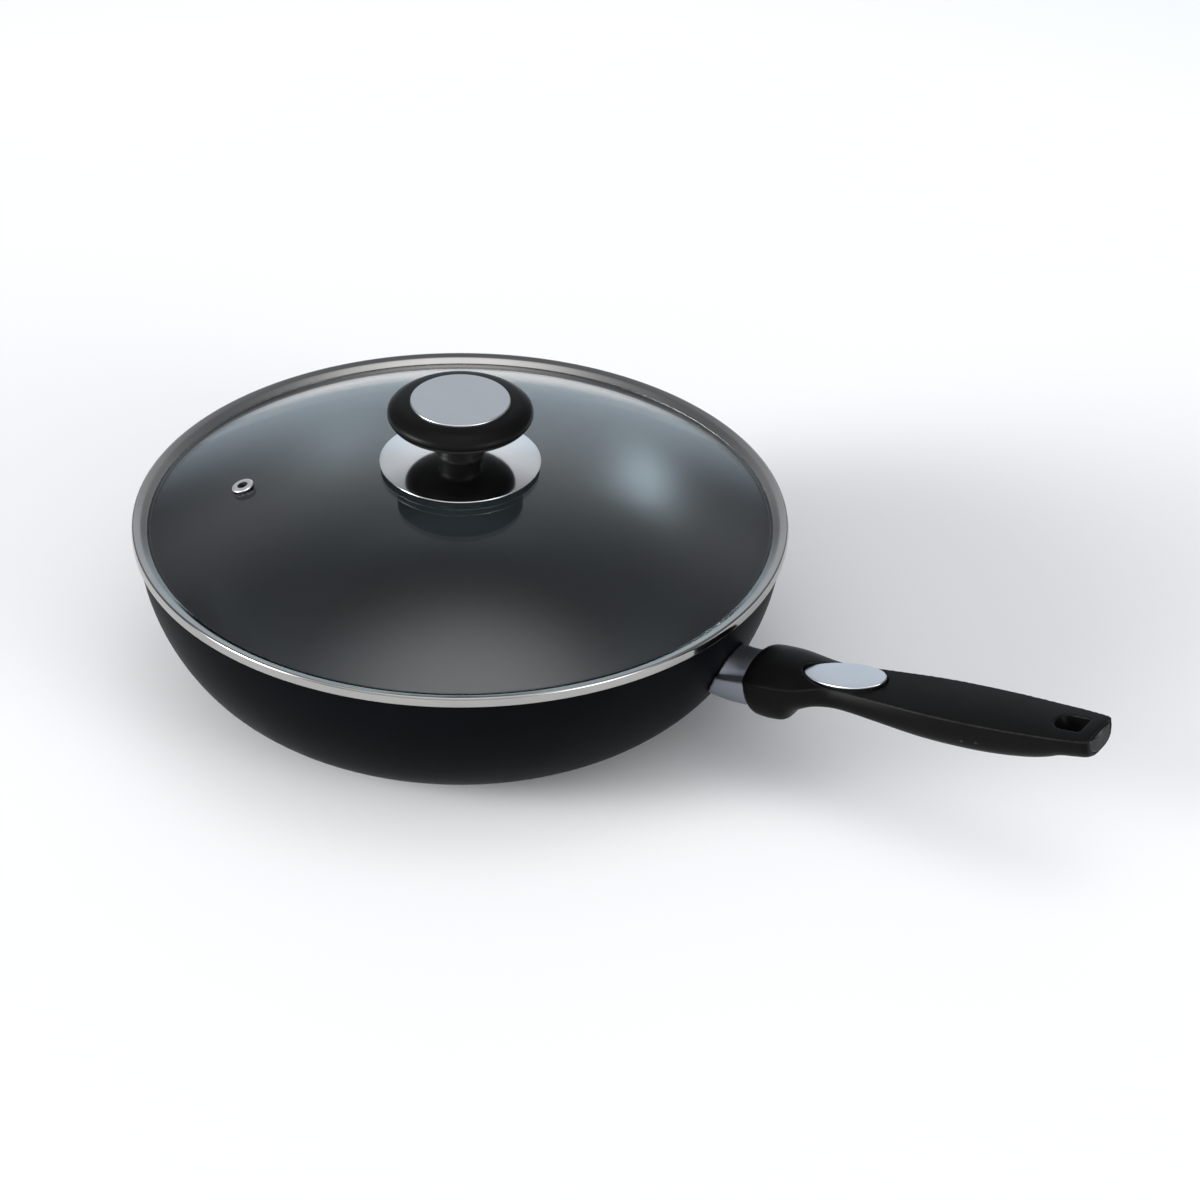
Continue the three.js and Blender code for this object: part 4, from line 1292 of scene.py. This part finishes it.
def make_grip():
    blank = lofted("grip_blank", [grip_section(u) for u in range(TAIL + 1)], HANDLE)
    socket = stub_solids("socket", SLIDE)
    slot = block("leaf_slot", TONGUE_END - OVERCUT, LEAF_END + GAP, LEAF_HALF_WIDTH + SLIDE,
                 SLOT_FLOOR, SLOT_ROOF, HANDLE)
    radius, roof = LEAF_SCREW_HEAD + SLIDE, SLOT_ROOF - OVERCUT
    shaft = [(0, -THROUGH), (radius, -THROUGH), (radius, roof), (0, roof)]
    access = spun("access", shaft, count=ROUND_TINY, place=LEAF_SCREW)
    well = lofted("well", [oval_ring(-SLIDE, n) for n in (-WELL_DEPTH, THROUGH)], BUTTON)
    levels = [(TAIL - PLATE_THICKNESS, 1), (TAIL + OVERCUT, 1)]
    pocket = lofted("plate_pocket", plate_rings(SEAT, levels), HANDLE)
    cutters = [*socket, slot, access, well, hang_hole(), pocket]
    grip = carved("grip", blank, (), cutters, GRIP_VOXEL, GRIP_SOFTENING)
    stand_for(grip, "handle_grip", GRIP_BLACK)


def make_end_plate():
    front = TAIL + PLATE_PROUD
    edge = [(front - back, share) for back, share in PLATE_EDGE]
    levels = [(front - PLATE_THICKNESS, 1), *edge]
    plate = lofted("tail_plate", plate_rings(0, levels), HANDLE)
    stand_for(even_out_normals(plate), "end_plate", GREY_PLATE)


def make_thumb_oval():
    levels = [(0, BUTTON_THICKNESS), *BUTTON_FACE]
    rings = [oval_ring(inset, -drop) for inset, drop in levels]
    face = even_out_normals(lofted("thumb_oval", rings, BUTTON))
    stand_for(face, "button_face", OVAL_SATIN)


def make_leaf_screw():
    seat = LEAF_SCREW_SEAT
    low = seat - LEAF_SCREW_HEAD_HEIGHT
    outline = rounded([
        (0, low),
        (LEAF_SCREW_HEAD, low, LEAF_SCREW_HEAD_ROUND),
        (LEAF_SCREW_HEAD, seat, CRISP_EDGE),
        (LEAF_SCREW_SHANK, seat, FINE_EDGE),
        (LEAF_SCREW_SHANK, LEAF_SCREW_TIP, EASED_EDGE),
        (0, LEAF_SCREW_TIP),
    ])
    blank = spun("leaf_screw_blank", outline, count=ROUND_TINY, place=LEAF_SCREW)
    cross = []
    for i in range(2):
        turned = LEAF_SCREW @ Matrix.Rotation(i * math.pi / 2, 4, "Z")
        cross.append(block("cross_" + str(i), -CROSS_HALF_LENGTH, CROSS_HALF_LENGTH,
                           CROSS_HALF_WIDTH, low - OVERCUT, low + CROSS_DEPTH, turned))
    screw = even_out_normals(carved("leaf_screw", blank, cutters=cross))
    stand_for(screw, "latch_screw", STEEL)


def finish_latch_leaf():
    refinish("latch_leaf", STEEL)
    ease = frame["nodes"]["latch_leaf"].modifiers.new("eased_edges", "BEVEL")
    ease.width = LEAF_BEVEL * MM
    ease.segments = 2
    ease.limit_method = "ANGLE"


# Studio

def make_camera():
    right = Vector((math.cos(CAMERA_AZIMUTH), math.sin(CAMERA_AZIMUTH), 0))
    away = Vector((-math.sin(CAMERA_AZIMUTH), math.cos(CAMERA_AZIMUTH), 0))
    ahead = away * math.cos(CAMERA_PITCH) - Vector((0, 0, math.sin(CAMERA_PITCH)))
    up = right.cross(ahead)
    aim = Vector((0, 0, AIM_HEIGHT)) + right * AIM_RIGHT + up * AIM_UP
    roll = Matrix.Rotation(-CAMERA_ROLL, 4, "Z")
    pose = Matrix((right, up, -ahead)).transposed().to_4x4()
    pose.translation = aim - ahead * CAMERA_DISTANCE
    data = bpy.data.cameras.new("photo_camera")
    data.lens = CAMERA_LENS
    camera = bpy.data.objects.new("photo_camera", data)
    bpy.context.scene.collection.objects.link(camera)
    camera.matrix_world = pose @ roll
    bpy.context.scene.camera = camera


def make_light():
    """A world with soft round lights, each fading out from its own direction."""
    world = bpy.data.worlds.new("studio")
    world.use_nodes = True
    bpy.context.scene.world = world
    tree = world.node_tree
    way = put(tree, "TexCoord").outputs["Generated"]
    total = put(tree, "RGB").outputs[0]
    total.default_value = AMBIENT
    for azimuth, elevation, wide, tall, power, strength, tint in SOFT_LIGHTS:
        a, e = math.radians(azimuth), math.radians(elevation)
        towards = (math.cos(a) * math.cos(e), math.sin(a) * math.cos(e), math.sin(e))
        off = vector_maths(tree, "SUBTRACT", way, towards)
        scaled = vector_maths(tree, "MULTIPLY", off, (1 / wide, 1 / wide, 1 / tall))
        edge = maths(tree, "POWER", vector_maths(tree, "DOT_PRODUCT", scaled, scaled), power)
        level = maths(tree, "EXPONENT", maths(tree, "MULTIPLY", edge, -1))
        colour = [strength * c for c in tint]
        glow = put(tree, "VectorMath", {0: colour, "Scale": level}, operation="SCALE")
        total = vector_maths(tree, "ADD", total, glow.outputs["Vector"])
    tree.links.new(total, tree.nodes["Background"].inputs["Color"])


def make_floor():
    floor = spun("studio_floor", [(0, 0), (FLOOR_MIDDLE, 0), (FLOOR_SIZE, 0)], count=ROUND_SMALL)
    paint = Finish("floor_paint", Roughness=0.9, Specular_IOR_Level=0.0)
    patches = paint.pattern(GRAIN, Scale=60)
    dark, light = grey(FLOOR_COLOUR - FLOOR_VARIES), grey(FLOOR_COLOUR + FLOOR_VARIES)
    near = paint.mixed(patches["Patches"], dark, light)
    distance = vector_maths(paint.tree, "LENGTH", paint.place)
    far = put(paint.tree, "MapRange", {"Value": distance, "From Min": FAR_FROM * MM,
                                       "From Max": FAR_TO * MM})
    paint.colour(paint.mixed(far.outputs["Result"], near, FAR_FLOOR))
    floor.data.materials.append(paint.material)


bpy.context.scene.view_settings.view_transform = "Standard"
make_camera()
make_light()
make_floor()
make_pan()
make_rivet("left", 1)
make_rivet("right", -1)
make_stub()
make_band()
make_glass()
make_eyelet()
make_washer("upper_seal", "gasket_upper", DARK_SEAL_AND_SHADE)
make_washer("lower_seal", "gasket_lower", DARK_SEAL_AND_SHADE)
make_washer("washer", "screw_washer", STEEL)
make_knob_screw()
make_flange()
make_foot()
make_knob()
make_disc()
make_grip()
make_end_plate()
make_thumb_oval()
make_leaf_screw()
finish_latch_leaf()
refinish("knob_insert", BRASS)
refinish("button_plunger", GRIP_BLACK)
